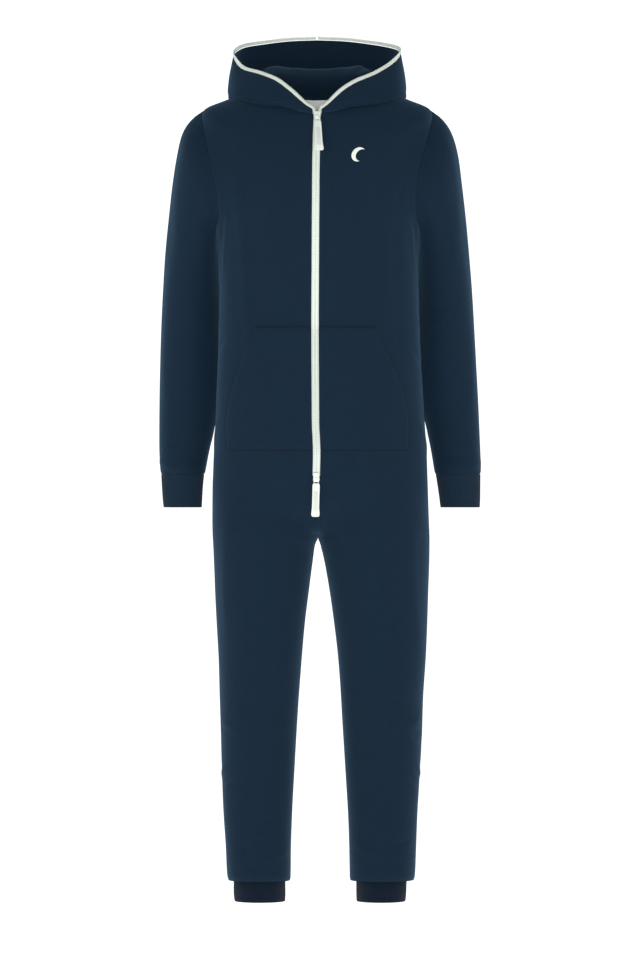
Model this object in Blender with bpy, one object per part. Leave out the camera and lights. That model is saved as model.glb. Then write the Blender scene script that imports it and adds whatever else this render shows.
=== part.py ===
"""A hooded one-piece pajama, filled out as worn but hollow, in metres.

+Z is up, +X is the wearer's left and -Y is the front. The origin is the middle of
the neck at the height of the shoulders' high points, where the wearer holds it up.
Each cut panel is a wall with an outer face on a ringed form and an inner face one
cloth thickness inside it. The trunk and the legs share one table of rings, each
sleeve runs from its armhole to its cuff over a second table, and the hood is a fan
of ribs from the neck seam, over its folds, to the zipped rim.
"""

import math

import bmesh
import bpy
import numpy as np

# ---------------------------------------------------------------- driving sizes
CLOTH = 0.0020  # brushed sweatshirt fleece
RIB = 0.0022  # doubled rib of the cuffs
SEAM = 0.0003  # gap between two pieces at a seam
SQUARE = 0.03  # how much a body ring is squarer than an ellipse
ARMHOLE_FILL, FILL_REACH = 0.021, 0.60  # how far cloth stands out beside an armhole, and over what turn
FULL_SET_IN = math.radians(25)  # the set-in of an armhole's edge that is filled out in full
LEG_FROM, LEG_OVER = -0.69, 0.18  # where the trunk starts to part over the thighs, and over what height
MIDDLE_REACH = 0.30  # how far from the middle seams, as a sine, the crotch's own curve holds

ZIP_SHOWN = 0.0066  # half of the zip that shows between the fronts
ZIP_UNDER = 0.0060  # how far each tape runs on behind its panel
TAPE = 0.0007  # thickness of the zip tape
CHAIN_HALF = 0.0032  # half of the closed row of teeth
CHAIN_PROUD = 0.0010  # how far the teeth stand proud of the tape

RIGHT, LEFT = -1, 1  # the wearer's sides, which are also the signs of X


def columns(names, rows):
    """A table as a dictionary of its named columns."""
    return dict(zip(names.split(), np.array(rows, float).T))


# Rings of the trunk and the legs, from the neck seam down. Heights are at the side, the
# middle front and the middle back; right and left are the half widths, in_right and in_left
# the inner edges of the legs, mid the centre line, front and back the depths, and leg is 0
# on the trunk and 1 on the two legs.
RINGS = columns(
    "side_z front_z back_z right left in_right in_left mid front back leg",
    [
        (0.0000, -0.056, -0.021, 0.0980, 0.0980, 0, 0, 0.0005, 0.092, 0.072, 0),
        (-0.0262, -0.085, -0.055, 0.1665, 0.1690, 0, 0, -0.0005, 0.106, 0.092, 0),
        (-0.0435, -0.115, -0.088, 0.2040, 0.2050, 0, 0, -0.0012, 0.115, 0.102, 0),
        (-0.0750, -0.140, -0.115, 0.2090, 0.2080, 0, 0, -0.0017, 0.120, 0.106, 0),
        (-0.1100, -0.165, -0.145, 0.2090, 0.2050, 0, 0, -0.0020, 0.1235, 0.108, 0),
        (-0.1500, -0.192, -0.178, 0.2040, 0.1990, 0, 0, -0.0022, 0.126, 0.108, 0),
        (-0.1950, -0.222, -0.213, 0.1950, 0.1930, 0, 0, -0.0024, 0.1275, 0.107, 0),
        (-0.2400, -0.254, -0.250, 0.1860, 0.1880, 0, 0, -0.0026, 0.1275, 0.106, 0),
        (-0.2800, -0.285, -0.284, 0.1800, 0.1845, 0, 0, -0.0028, 0.1270, 0.105, 0),
        (-0.3300, -0.330, -0.330, 0.1785, 0.1840, 0, 0, -0.0030, 0.1250, 0.102, 0),
        (-0.3850, -0.385, -0.385, 0.1770, 0.1850, 0, 0, -0.0033, 0.1220, 0.098, 0),
        (-0.4390, -0.439, -0.439, 0.1778, 0.1862, 0, 0, -0.0035, 0.1200, 0.097, 0),
        (-0.4850, -0.485, -0.485, 0.1790, 0.1878, 0, 0, -0.0034, 0.1190, 0.099, 0),
        (-0.5300, -0.530, -0.530, 0.1810, 0.1900, 0, 0, -0.0031, 0.1185, 0.103, 0),
        (-0.5760, -0.576, -0.576, 0.1830, 0.1925, 0, 0, -0.0028, 0.1180, 0.110, 0),
        (-0.6160, -0.616, -0.616, 0.1845, 0.1950, 0, 0, -0.0024, 0.1170, 0.116, 0),
        (-0.6560, -0.656, -0.656, 0.1862, 0.1980, 0, 0, -0.0006, 0.1160, 0.120, 0),
        (-0.7040, -0.704, -0.704, 0.1880, 0.1998, 0, 0, -0.0012, 0.1150, 0.122, 0),
        (-0.7180, -0.718, -0.718, 0.1887, 0.2004, 0, 0, -0.0006, 0.1145, 0.122, 0.015),
        (-0.7500, -0.750, -0.750, 0.1893, 0.2015, 0, 0, 0.0005, 0.1130, 0.121, 0.095),
        (-0.7830, -0.783, -0.783, 0.1896, 0.2027, 0, 0.001, 0.0012, 0.1085, 0.116, 0.31),
        (-0.8040, -0.804, -0.804, 0.1893, 0.2035, 0, 0.002, 0.0015, 0.1045, 0.112, 0.58),
        (-0.8160, -0.816, -0.816, 0.1888, 0.2038, 0.0012, 0.0024, 0.0018, 0.1015, 0.109, 1),
        (-0.8290, -0.829, -0.829, 0.1880, 0.2038, -0.0040, 0.0066, 0, 0.0980, 0.106, 1),
        (-0.8620, -0.862, -0.862, 0.1862, 0.2032, -0.0088, 0.0142, 0, 0.0938, 0.100, 1),
        (-0.9120, -0.912, -0.912, 0.1838, 0.2012, -0.0152, 0.0228, 0, 0.0900, 0.095, 1),
        (-0.9680, -0.968, -0.968, 0.1808, 0.1990, -0.0218, 0.0308, 0, 0.0862, 0.091, 1),
        (-1.0300, -1.030, -1.030, 0.1778, 0.1960, -0.0274, 0.0382, 0, 0.0815, 0.087, 1),
        (-1.1000, -1.100, -1.100, 0.1766, 0.1917, -0.0326, 0.0434, 0, 0.0760, 0.083, 1),
        (-1.1700, -1.170, -1.170, 0.1742, 0.1900, -0.0371, 0.0474, 0, 0.0700, 0.082, 1),
        (-1.2400, -1.240, -1.240, 0.1716, 0.1862, -0.0409, 0.0510, 0, 0.0640, 0.083, 1),
        (-1.3100, -1.310, -1.310, 0.1684, 0.1815, -0.0444, 0.0555, 0, 0.0600, 0.079, 1),
        (-1.3700, -1.370, -1.370, 0.1646, 0.1790, -0.0468, 0.0580, 0, 0.0590, 0.073, 1),
        (-1.4150, -1.415, -1.415, 0.1628, 0.1775, -0.0474, 0.0592, 0, 0.0595, 0.069, 1),
        (-1.4310, -1.431, -1.431, 0.1606, 0.1755, -0.0482, 0.0598, 0, 0.0570, 0.066, 1),
        (-1.4345, -1.4345, -1.4345, 0.1565, 0.1712, -0.0516, 0.0634, 0, 0.0530, 0.061, 1),
        (-1.4300, -1.430, -1.430, 0.1526, 0.1665, -0.0546, 0.0676, 0, 0.0490, 0.057, 1),
        (-1.4120, -1.412, -1.412, 0.1508, 0.1640, -0.0560, 0.0692, 0, 0.0470, 0.055, 1),
    ],
)
SHOULDER_RING, ARMPIT_RING = 2, 8
POCKET_TOP, POCKET_FOOT = 11, 16
POCKET_EASE = (3, 4)  # rings over which the panel's lines ease to the pocket, above and below
ZIP_FOOT = 17
HEM_RING = len(RINGS["leg"]) - 1
PANEL_ROWS = (0, 1, *np.arange(SHOULDER_RING, ARMPIT_RING, 0.75), *range(ARMPIT_RING, HEM_RING + 1))
PANEL_STEPS, POCKET_STEPS, BACK_STEPS = 7, 5, 6  # strips across a front, under its pocket, and a back

# How far each armhole edge stands off the side line at its rings, in degrees.
ARMHOLE = columns(
    "ring front back",
    [(2, 0, 0), (3, 13, 12), (4, 21, 18), (5, 25, 22), (6, 25, 22), (7, 19, 17), (8, 0, 0)],
)

# The pocket's outer edge: the slanted hand opening, then the sewn side.
POCKET = columns(
    "ring right left",
    [(11, 0.1105, 0.1030), (12, 0.1290, 0.1237), (13, 0.1430, 0.1425), (14, 0.1575, 0.1575),
     (15, 0.1625, 0.1625), (16, 0.1594, 0.1609)],
)

# Rings of the sleeves: the outer and the inner point of each, on both sides, then where its
# middle lies in depth and its half depth. The first ring is the armhole itself.
SLEEVE = columns(
    "out_z in_z out_right out_left in_right in_left middle depth",
    [
        (-0.0435, -0.2800, 0.2040, 0.2050, 0.1800, 0.1845, 0.000, 0.056),
        (-0.0600, -0.2818, 0.2265, 0.2270, 0.1806, 0.1850, 0.001, 0.064),
        (-0.0850, -0.2848, 0.2425, 0.2430, 0.1808, 0.1852, 0.004, 0.070),
        (-0.1240, -0.2900, 0.2525, 0.2545, 0.1806, 0.1850, 0.009, 0.0745),
        (-0.1780, -0.2985, 0.2615, 0.2620, 0.1797, 0.1842, 0.015, 0.0765),
        (-0.2400, -0.3150, 0.2690, 0.2695, 0.1780, 0.1828, 0.022, 0.0755),
        (-0.3060, -0.3460, 0.2755, 0.2760, 0.1760, 0.1815, 0.030, 0.0725),
        (-0.3760, -0.3950, 0.2800, 0.2820, 0.1745, 0.1815, 0.036, 0.0680),
        (-0.4450, -0.4550, 0.2825, 0.2862, 0.1748, 0.1825, 0.038, 0.0650),
        (-0.5100, -0.5150, 0.2840, 0.2892, 0.1762, 0.1845, 0.036, 0.0620),
        (-0.5700, -0.5700, 0.2852, 0.2918, 0.1786, 0.1880, 0.031, 0.0580),
        (-0.6200, -0.6200, 0.2855, 0.2938, 0.1858, 0.1985, 0.025, 0.0530),
        (-0.6600, -0.6600, 0.2853, 0.2955, 0.1950, 0.2064, 0.019, 0.0485),
        (-0.6900, -0.6900, 0.2838, 0.2966, 0.2008, 0.2112, 0.015, 0.0455),
        (-0.7000, -0.7000, 0.2812, 0.2950, 0.2036, 0.2142, 0.014, 0.0400),
    ],
)
AROUND = 16  # points around a sleeve, and around a cuff

# Both kinds of cuff: heights, edges and depths from the seam down to the folded hem.
CUFF = columns(
    "z out_right out_left in_right in_left front back",
    [
        (-0.7003, 0.2812, 0.2950, 0.2036, 0.2142, 0.0260, 0.0540),
        (-0.7200, 0.2798, 0.2944, 0.2052, 0.2170, 0.0235, 0.0505),
        (-0.7450, 0.2782, 0.2942, 0.2068, 0.2206, 0.0220, 0.0485),
        (-0.7605, 0.2770, 0.2940, 0.2080, 0.2230, 0.0215, 0.0480),
    ],
)
ANKLE = columns(
    "z out_right out_left in_right in_left front back",
    [
        (-1.4115, 0.1503, 0.1635, 0.0565, 0.0697, 0.0465, 0.0545),
        (-1.4300, 0.1497, 0.1615, 0.0568, 0.0702, 0.0460, 0.0540),
        (-1.4550, 0.1500, 0.1607, 0.0565, 0.0704, 0.0460, 0.0540),
        (-1.4712, 0.1488, 0.1598, 0.0575, 0.0714, 0.0455, 0.0535),
    ],
)

# Ribs of one half of the hood, from the zip round to the centre seam: where each starts on the
# neck ring (degrees from the front), its lower fold on the shoulders, and its cut edge under
# the zip, which drops a little lower on the right half. A rib's crest stands lift over the middle of neck and fold, drawn in by pull, and
# its outer wall stands proud by bulge.
HOOD = columns(
    "neck fold_x fold_y fold_z edge_x edge_y edge_z drop lift pull bulge",
    [
        (4.6, 0.0080, -0.0925, -0.0525, 0.0080, -0.0910, -0.0470, 0.0000, 0.000, 0.000, 0.000),
        (14, 0.0240, -0.0970, -0.0510, 0.0213, -0.0905, -0.0370, 0.0015, 0.001, 0.000, 0.002),
        (26, 0.0430, -0.0955, -0.0478, 0.0364, -0.0870, -0.0230, 0.0027, 0.002, 0.000, 0.003),
        (38, 0.0620, -0.0890, -0.0430, 0.0543, -0.0770, -0.0081, 0.0018, 0.002, 0.000, 0.004),
        (51, 0.0840, -0.0800, -0.0405, 0.0758, -0.0630, 0.0048, -0.0014, 0.003, 0.000, 0.005),
        (64, 0.1140, -0.0680, -0.0350, 0.1050, -0.0390, 0.0185, -0.0010, 0.003, 0.000, 0.005),
        (77, 0.1460, -0.0420, -0.0245, 0.1360, -0.0060, 0.0390, 0.0080, 0.004, 0.000, 0.004),
        (90, 0.1600, 0.0000, -0.0195, 0.1512, 0.0300, 0.0565, 0.0060, 0.005, 0.000, 0.003),
        (104, 0.1580, 0.0440, -0.0225, 0.1495, 0.0680, 0.0690, 0.0040, 0.012, 0.000, 0.004),
        (120, 0.1410, 0.0850, -0.0400, 0.1330, 0.1030, 0.0780, 0.0000, 0.052, 0.010, 0.008),
        (138, 0.1090, 0.1130, -0.0600, 0.1000, 0.1300, 0.0860, 0.0000, 0.082, 0.013, 0.013),
        (159, 0.0580, 0.1330, -0.0770, 0.0520, 0.1470, 0.0933, 0.0000, 0.091, 0.013, 0.018),
        (180, 0.0000, 0.1400, -0.0850, 0.0000, 0.1520, 0.0958, 0.0000, 0.095, 0.013, 0.020),
    ],
)
HOOD_STEPS = 12  # strips from the neck seam to the edge
HOOD_LIFT = 0.0026  # how far the hood starts above the neck ring
INTO_FOLD, WALL_FOLD = 0.68, 0.55  # how near the points above and outside the fold lie to it
INTO_BULGE = 0.35  # the share of the bulge by which the first of them leans in

# Two sliders with their pulls: each slider's ring on the zip, how far its pull leans across,
# how far the slider and then the pull at rest tip off the upright, all in degrees, and how
# far the slider is lifted to clear the zip where that bends.
SLIDERS = {"upper": (0.27, 4.0, 18.0, 23.0, 0.0011), "lower": (17.18, -1.5, 0.0, 1.0, 0.0013)}
SLIDER_LONG, SLIDER_WIDE, SLIDER_NOSE, SLIDER_DEEP = 0.0165, 0.0118, 0.0086, 0.0016
SLIDER_CORNER, NOSE_CORNER = 0.0030, 0.0020
BRIDGE_HALF, BRIDGE_WIDE, BRIDGE_BAR, BRIDGE_TOP = 0.0032, 0.0024, 0.0012, 0.0045
BRIDGE_CUT, BRIDGE_SUNK = 0.0010, 0.0008  # its cut corners, and how deep it is rooted in the plate
PIVOT = 0.0017  # height of the hinge over the plate
TAB_LONG, TAB_NECK, TAB_WIDE, TAB_DEEP = 0.0150, 0.0066, 0.0096, 0.0010
TAB_TOP, TAB_SHOULDER, TAB_SLOPE = 0.0007, 0.0050, 0.0018  # over the hinge, and where the tab widens
EYE_HALF, EYE_TOP, EYE_FOOT = 0.0021, 0.0007, 0.0048
PULLER_TOP, PULLER_LONG, PULLER_WIDE, PULLER_END, PULLER_DEEP = 0.0093, 0.0590, 0.0130, 0.0152, 0.0028
PULLER_CUT, PULLER_FLARE, PULLER_CORNER = 0.0010, 0.0120, 0.0040
SOCKET_TOP = 0.0040  # how far the tab's socket runs out through the puller's top

LABEL_WIDE, LABEL_TOP, LABEL_FOOT, LABEL_OFF, LABEL_DEEP = 0.056, 0.10, 1.0, 0.0022, 0.0006

SEAM_TURN = 0.0022  # half the seam gap as an angle on the body
ARMHOLE_GAP = 0.0006  # how far a sleeve starts outside its armhole
SLEEVE_FADE = 6  # rings over which the armhole's own shape fades out of a sleeve
RIM_UNDER = 0.0010  # how deep the tape lies under the hood's outer face at the rim
TAPE_SAG = 0.0006  # how much deeper a tape's hidden edge lies than its row of teeth
CROWN_GAP = 0.0016  # half the gap between the two tapes over the centre seam of the hood

NAVY = (0.013, 0.024, 0.045)
RIB_NAVY = (0.012, 0.022, 0.041)
CREAM = (0.78, 0.80, 0.74)
CREAM_DARK = (0.66, 0.68, 0.62)
WHITE = (0.72, 0.74, 0.77)


# ---------------------------------------------------------------- forms
def smooth(table, at):
    """A column of a table at fractional places, on a smooth curve through all its rows."""
    at = np.clip(np.asarray(at, float), 0, len(table) - 1)
    return along([np.full(at.shape, value) for value in table], at)


def along(points, at):
    """The smooth curve through a stack of arrays, taken in each element at its own place."""
    points = np.asarray(points, float)
    extra = points.ndim - 1 - at.ndim
    first = np.minimum(at.astype(int), len(points) - 2)
    part = (at - first).reshape(at.shape + (1,) * extra)

    def pick(number):
        wanted = np.clip(number, 0, len(points) - 1).reshape((1,) + at.shape + (1,) * extra)
        return np.take_along_axis(points, wanted, axis=0)[0]

    p0, p1, p2, p3 = pick(first - 1), pick(first), pick(first + 1), pick(first + 2)
    rise, bend = p2 - p0, 2 * p0 - 5 * p1 + 4 * p2 - p3
    twist = 3 * (p1 - p2) + p3 - p0
    return p1 + 0.5 * part * (rise + part * (bend + part * twist))


def body(row, turn, side):
    """The outer face of the trunk and legs. The trunk turns from the middle front (0) past the
    side (a quarter) to the middle back (a half turn), filled out beside the armholes, and a leg
    goes round twice as fast from its inseam. The leg column blends the two at the middle, which
    makes the crotch, and a slower S-curve of the height does it over the thighs."""
    row, turn = np.broadcast_arrays(np.asarray(row, float), np.asarray(turn, float))
    ring = {name: smooth(values, row) for name, values in RINGS.items()}
    outer = ring["left"] if side == LEFT else -ring["right"]
    inner = ring["in_left"] if side == LEFT else ring["in_right"]
    across = np.sin(turn + SQUARE * np.sin(2 * turn))
    facing = np.cos(turn - SQUARE * np.sin(2 * turn))
    depth = np.where(facing > 0, ring["front"], ring["back"])
    drop = np.where(facing > 0, ring["front_z"], ring["back_z"]) - ring["side_z"]
    height = ring["side_z"] + drop * facing**2
    set_in = np.where(facing > 0, armhole_turn(row, "front"), armhole_turn(row, "back"))
    from_arm = np.abs(math.pi / 2 - turn) - set_in
    fill = ARMHOLE_FILL * set_in / FULL_SET_IN * np.clip(1 - from_arm / FILL_REACH, 0, 1) ** 2
    forth = -depth * facing - np.sign(facing) * fill
    trunk = np.stack([ring["mid"] + (outer - ring["mid"]) * across, forth, height], -1)
    swing = np.sin(2 * turn)
    reach = np.where(swing > 0, ring["front"], ring["back"])
    halfway, half = (outer + inner) / 2, (outer - inner) / 2
    tube = np.stack([halfway - half * np.cos(2 * turn), -reach * swing, ring["side_z"]], -1)
    slow = np.clip((LEG_FROM - ring["side_z"]) / LEG_OVER, 0, 1)
    slow = slow**2 * (3 - 2 * slow)
    middle = np.exp(-((np.sin(turn) / MIDDLE_REACH) ** 2))
    leg = (middle * np.clip(ring["leg"], 0, 1) + (1 - middle) * slow)[..., None]
    return (1 - leg) * trunk + leg * tube


def sleeve(row, turn, side):
    """The outer face of a sleeve: it turns from the outer or top line (0) round the front to
    the underarm line (a half turn) and back. Its first ring is the armhole edge itself, and
    that edge's own shape fades out over the next rings."""
    row, turn = np.broadcast_arrays(np.asarray(row, float), np.asarray(turn, float))
    ring = {name: smooth(values, row) for name, values in SLEEVE.items()}
    start = {name: values[0] for name, values in SLEEVE.items()}
    suffix = "left" if side == LEFT else "right"

    def oval(at):
        out_x, in_x = side * at["out_" + suffix], side * at["in_" + suffix]
        x = (out_x + in_x) / 2 + (out_x - in_x) / 2 * np.cos(turn)
        z = (at["out_z"] + at["in_z"]) / 2 + (at["out_z"] - at["in_z"]) / 2 * np.cos(turn)
        return np.stack([x, at["middle"] - at["depth"] * np.sin(turn), z], -1)

    fade = np.clip(1 - row / SLEEVE_FADE, 0, 1) ** 2
    return oval(ring) + fade[..., None] * (armhole(turn, side) - oval(start))


def armhole(turn, side):
    """The armhole edge, from the shoulder's tip round the front to the armpit and back."""
    way = np.mod(np.asarray(turn, float), 2 * math.pi) / math.pi
    forward = way <= 1
    row = SHOULDER_RING + (ARMPIT_RING - SHOULDER_RING) * np.where(forward, way, 2 - way)
    set_in = np.where(forward, armhole_turn(row, "front"), -armhole_turn(row, "back"))
    return body(row, math.pi / 2 - set_in, side)


def armhole_turn(row, face):
    """How far, in radians, the armhole edge stands off the side line at a ring."""
    inside = (row >= SHOULDER_RING) & (row <= ARMPIT_RING)
    found = smooth(np.radians(ARMHOLE[face]), np.clip(row, SHOULDER_RING, ARMPIT_RING) - SHOULDER_RING)
    return np.where(inside, np.maximum(found, 0), 0)


def hood(rib, step, side):
    """The outer face of half the hood. Each rib rises from the neck seam to its crest, goes down
    to its fold on the shoulders and climbs a bulging outer wall to its edge."""
    rib, step = np.broadcast_arrays(np.asarray(rib, float), np.asarray(step, float))
    found = {name: smooth(values, rib) for name, values in HOOD.items()}
    up = np.array([0, 0, 1.0])
    neck = body(np.zeros(rib.shape), np.radians(found["neck"]), LEFT) + HOOD_LIFT * up
    fold = np.stack([found["fold_x"], found["fold_y"], found["fold_z"]], -1)
    edge_z = found["edge_z"] - (found["drop"] if side == RIGHT else 0)
    edge = np.stack([found["edge_x"], found["edge_y"], edge_z], -1)
    away = fold - neck
    away[..., 2] = 0
    away /= np.linalg.norm(away, axis=-1, keepdims=True) + 1e-9
    lift, pull, bulge = (found[name][..., None] for name in ("lift", "pull", "bulge"))
    crest = (neck + fold) / 2 + lift * up - pull * away
    into = INTO_FOLD * fold + (1 - INTO_FOLD) * crest - INTO_BULGE * bulge * away
    outside = WALL_FOLD * fold + (1 - WALL_FOLD) * edge + bulge * away
    points = [neck, crest, into, fold, outside, edge]
    return along(points, np.clip(step, 0, 1) * (len(points) - 1)) * np.array([side, 1, 1])


def outward(form, row, turn, side, close=1e-3, flip=1):
    """Unit normals of a form, from how its face runs on either side of each point."""
    down = form(row + close, turn, side) - form(row - close, turn, side)
    around = form(row, turn + close, side) - form(row, turn - close, side)
    facing = np.cross(down, around) * side * flip
    return facing / (np.linalg.norm(facing, axis=-1, keepdims=True) + 1e-12)


# ---------------------------------------------------------------- making solids
def material(name, colour, roughness):
    """A plain Principled material."""
    made = bpy.data.materials.new(name)
    made.use_nodes = True
    shader = made.node_tree.nodes["Principled BSDF"]
    shader.inputs["Base Color"].default_value = (*colour, 1)
    shader.inputs["Roughness"].default_value = roughness
    made.diffuse_color = (*colour, 1)
    return made


def add(name, points, faces, colour, roughness, origin=(0, 0, 0)):
    """A closed mesh as a named object with its own material and its origin where asked."""
    mesh = bpy.data.meshes.new(name)
    mesh.from_pydata((np.asarray(points) - np.array(origin)).tolist(), [], [list(f) for f in faces])
    work = bmesh.new()
    work.from_mesh(mesh)
    bmesh.ops.recalc_face_normals(work, faces=work.faces)
    work.to_mesh(mesh)
    work.free()
    mesh.shade_smooth()
    obj = bpy.data.objects.new(name, mesh)
    obj.location = origin
    mesh.materials.append(material(name, colour, roughness))
    bpy.context.scene.collection.objects.link(obj)
    return obj


def wall(name, outer, inner, colour, roughness=0.9, ring=False):
    """A cloth wall between two grids of points; ring closes it round its second direction."""
    rows, steps = outer.shape[:2]
    index = np.arange(rows * steps).reshape(rows, steps)
    if ring:
        index = np.concatenate([index, index[:, :1]], axis=1)
    a, b, c, d = index[:-1, :-1], index[:-1, 1:], index[1:, 1:], index[1:, :-1]
    halves = np.concatenate([np.stack([a, b, c], -1).reshape(-1, 3), np.stack([a, c, d], -1).reshape(-1, 3)])
    count = rows * steps
    faces = [halves, halves[:, ::-1] + count]
    edges = [index[0], index[-1]] if ring else [index[0], index[-1], index[:, 0], index[:, -1]]
    for edge in edges:
        e, f = edge[:-1], edge[1:]
        faces.append(np.stack([e, f, f + count], -1))
        faces.append(np.stack([e, f + count, e + count], -1))
    points = np.concatenate([outer.reshape(-1, 3), inner.reshape(-1, 3)])
    return add(name, points, np.concatenate(faces).tolist(), colour, roughness)


def swept(name, sections, colour, roughness=0.6):
    """A solid through a row of closed sections, with flat ends."""
    stations, corners = sections.shape[:2]
    index = np.arange(stations * corners).reshape(stations, corners)
    index = np.concatenate([index, index[:, :1]], axis=1)
    quads = np.stack([index[:-1, :-1], index[:-1, 1:], index[1:, 1:], index[1:, :-1]], -1).reshape(-1, 4)
    faces = quads.tolist() + [index[0, :-1].tolist(), index[-1, :-1].tolist()]
    return add(name, sections.reshape(-1, 3), faces, colour, roughness)


def slab(outline, low, high, axes):
    """Points and faces of a flat outline given depth; axes are its across, up and depth ways."""
    across, up, depth = (np.array(axis, float) for axis in axes)
    flat = np.array([u * across + v * up for u, v in outline])
    count = len(flat)
    points = np.concatenate([flat + low * depth, flat + high * depth])
    sides = [(i, (i + 1) % count, count + (i + 1) % count, count + i) for i in range(count)]
    return points, [tuple(range(count)), tuple(range(count, 2 * count)), *sides]


def box_outline(half, top, foot):
    """A rectangle as an outline."""
    return [(-half, top), (half, top), (half, foot), (-half, foot)]


def fused(name, main, other, how, colour, roughness, origin=(0, 0, 0)):
    """A slab with another slab joined to it or cut from it."""
    obj = add(name, *main, colour, roughness, origin)
    helper = add(f"{name}_helper", *other, colour, roughness)
    change = obj.modifiers.new(how, "BOOLEAN")
    change.operation = how
    change.solver = "EXACT"
    change.object = helper
    helper.hide_render = True
    bpy.context.view_layer.update()
    made = bpy.data.meshes.new_from_object(obj.evaluated_get(bpy.context.evaluated_depsgraph_get()))
    obj.modifiers.clear()
    obj.data = made
    bpy.data.objects.remove(helper, do_unlink=True)


# ---------------------------------------------------------------- the garment
def start_turn(row, side):
    """Where a front panel begins: beside the zip, then at the seam below it."""
    fine = np.linspace(0, 0.3, 61)
    found = []
    for one in row:
        off = np.abs(body(one, fine, side)[:, 0] - smooth(RINGS["mid"], one))
        found.append(np.interp(ZIP_SHOWN, off, fine) if one <= ZIP_FOOT else SEAM_TURN)
    return np.array(found)


def pocket_turn(row, side, usual):
    """Where the pocket's outer edge lies, easing back to the usual turn above and below it."""
    fine = np.linspace(0, math.pi / 2, 181)
    found = []
    for one, plain in zip(row, usual):
        at = np.clip(one, POCKET_TOP, POCKET_FOOT)
        edge_x = smooth(POCKET["left" if side == LEFT else "right"], at - POCKET_TOP)
        turn = np.interp(edge_x, side * body(at, fine, side)[:, 0], fine)
        above, below = (one - POCKET_TOP) / POCKET_EASE[0] + 1, (POCKET_FOOT - one) / POCKET_EASE[1] + 1
        ease = np.clip(above, 0, 1) * np.clip(below, 0, 1)
        found.append(plain + (turn - plain) * ease)
    return np.array(found)


def front_turns(row, side):
    """The turns of a front panel's lines of points at each row."""
    start = start_turn(row, side)
    end = math.pi / 2 - SEAM_TURN - armhole_turn(row, "front")
    usual = start + (end - start) * POCKET_STEPS / PANEL_STEPS
    pocket = pocket_turn(row, side, usual)[:, None]
    inner = start[:, None] + (pocket - start[:, None]) * np.linspace(0, 1, POCKET_STEPS + 1)
    outer = pocket + (end[:, None] - pocket) * np.linspace(0, 1, PANEL_STEPS - POCKET_STEPS + 1)
    return np.concatenate([inner, outer[:, 1:]], axis=1)


def back_turns(row):
    """The turns of a back panel's lines of points at each row."""
    start = math.pi / 2 + SEAM_TURN + armhole_turn(row, "back")
    return start[:, None] + (math.pi - SEAM_TURN - start[:, None]) * np.linspace(0, 1, BACK_STEPS + 1)


def build_panels(side, word):
    """One front, its pocket and one back."""
    row = np.array(PANEL_ROWS, float)
    turns = front_turns(row, side)
    face = body(row[:, None], turns, side)
    out = outward(body, row[:, None], turns, side)
    wall(f"front_{word}", face, face - CLOTH * out, NAVY)
    held = (row >= POCKET_TOP) & (row <= POCKET_FOOT)
    base, away = face[held][:, : POCKET_STEPS + 1], out[held][:, : POCKET_STEPS + 1]
    wall(f"pocket_{word}", base + (SEAM + CLOTH) * away, base + SEAM * away, NAVY)
    turns = back_turns(row)
    face = body(row[:, None], turns, side)
    out = outward(body, row[:, None], turns, side)
    wall(f"back_{word}", face, face - CLOTH * out, NAVY)


def build_sleeve(side, word):
    """One sleeve and its wrist cuff."""
    row = np.arange(len(SLEEVE["out_z"]), dtype=float)
    turn = np.linspace(0, 2 * math.pi, AROUND, endpoint=False)
    face = sleeve(row[:, None], turn[None, :], side)
    out = outward(sleeve, row[:, None], turn[None, :], side, flip=-1)
    start = face.copy()
    start[0, :, 0] += side * ARMHOLE_GAP
    wall(f"sleeve_{word}", start, start - CLOTH * out, NAVY, ring=True)
    build_cuff(f"cuff_{word}", cuff_points(CUFF, turn, side, word))


def cuff_points(table, turn, side, word):
    """Rings of a cuff: turn goes from the outer edge round the front."""
    outer, inner = side * table["out_" + word], side * table["in_" + word]
    x = (outer + inner)[:, None] / 2 + (outer - inner)[:, None] / 2 * np.cos(turn)
    swing = np.sin(turn)
    y = -np.where(swing > 0, table["front"][:, None], table["back"][:, None]) * swing
    return np.stack([x, y, np.broadcast_to(table["z"][:, None], x.shape)], -1)


def build_cuff(name, cuff):
    """A cuff's wall, one rib thickness in from its rings."""
    flat = (cuff - cuff.mean(axis=1, keepdims=True)) * np.array([1, 1, 0])
    away = flat / np.linalg.norm(flat, axis=-1, keepdims=True)
    wall(name, cuff, cuff - RIB * away, RIB_NAVY, ring=True)


def build_ankle(side, word):
    """One ankle cuff, with its points in line with the leg's."""
    last = np.array([float(HEM_RING)])
    front, back = front_turns(last, side)[0], back_turns(last)[0]
    turn = math.pi - 2 * np.concatenate([[0], front[1:-1], [math.pi / 2], back[1:-1]])
    build_cuff(f"ankle_cuff_{word}", cuff_points(ANKLE, turn, side, word))


def build_hood(side, word):
    """Half of the hood, from the zip to the centre seam."""
    rib = np.arange(len(HOOD["neck"]), dtype=float)
    step = np.linspace(0, 1, HOOD_STEPS + 1)
    face = hood(rib[:, None], step[None, :], side)
    out = outward(hood, rib[:, None], step[None, :], side)
    out[-1, :, 0] = 0
    out /= np.linalg.norm(out, axis=-1, keepdims=True)
    face[-1, :, 0] += side * SEAM / 2
    inner = face - CLOTH * out
    wall(f"hood_{word}", face, inner, NAVY)
    return face[:, -1], out[:, -1]


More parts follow.
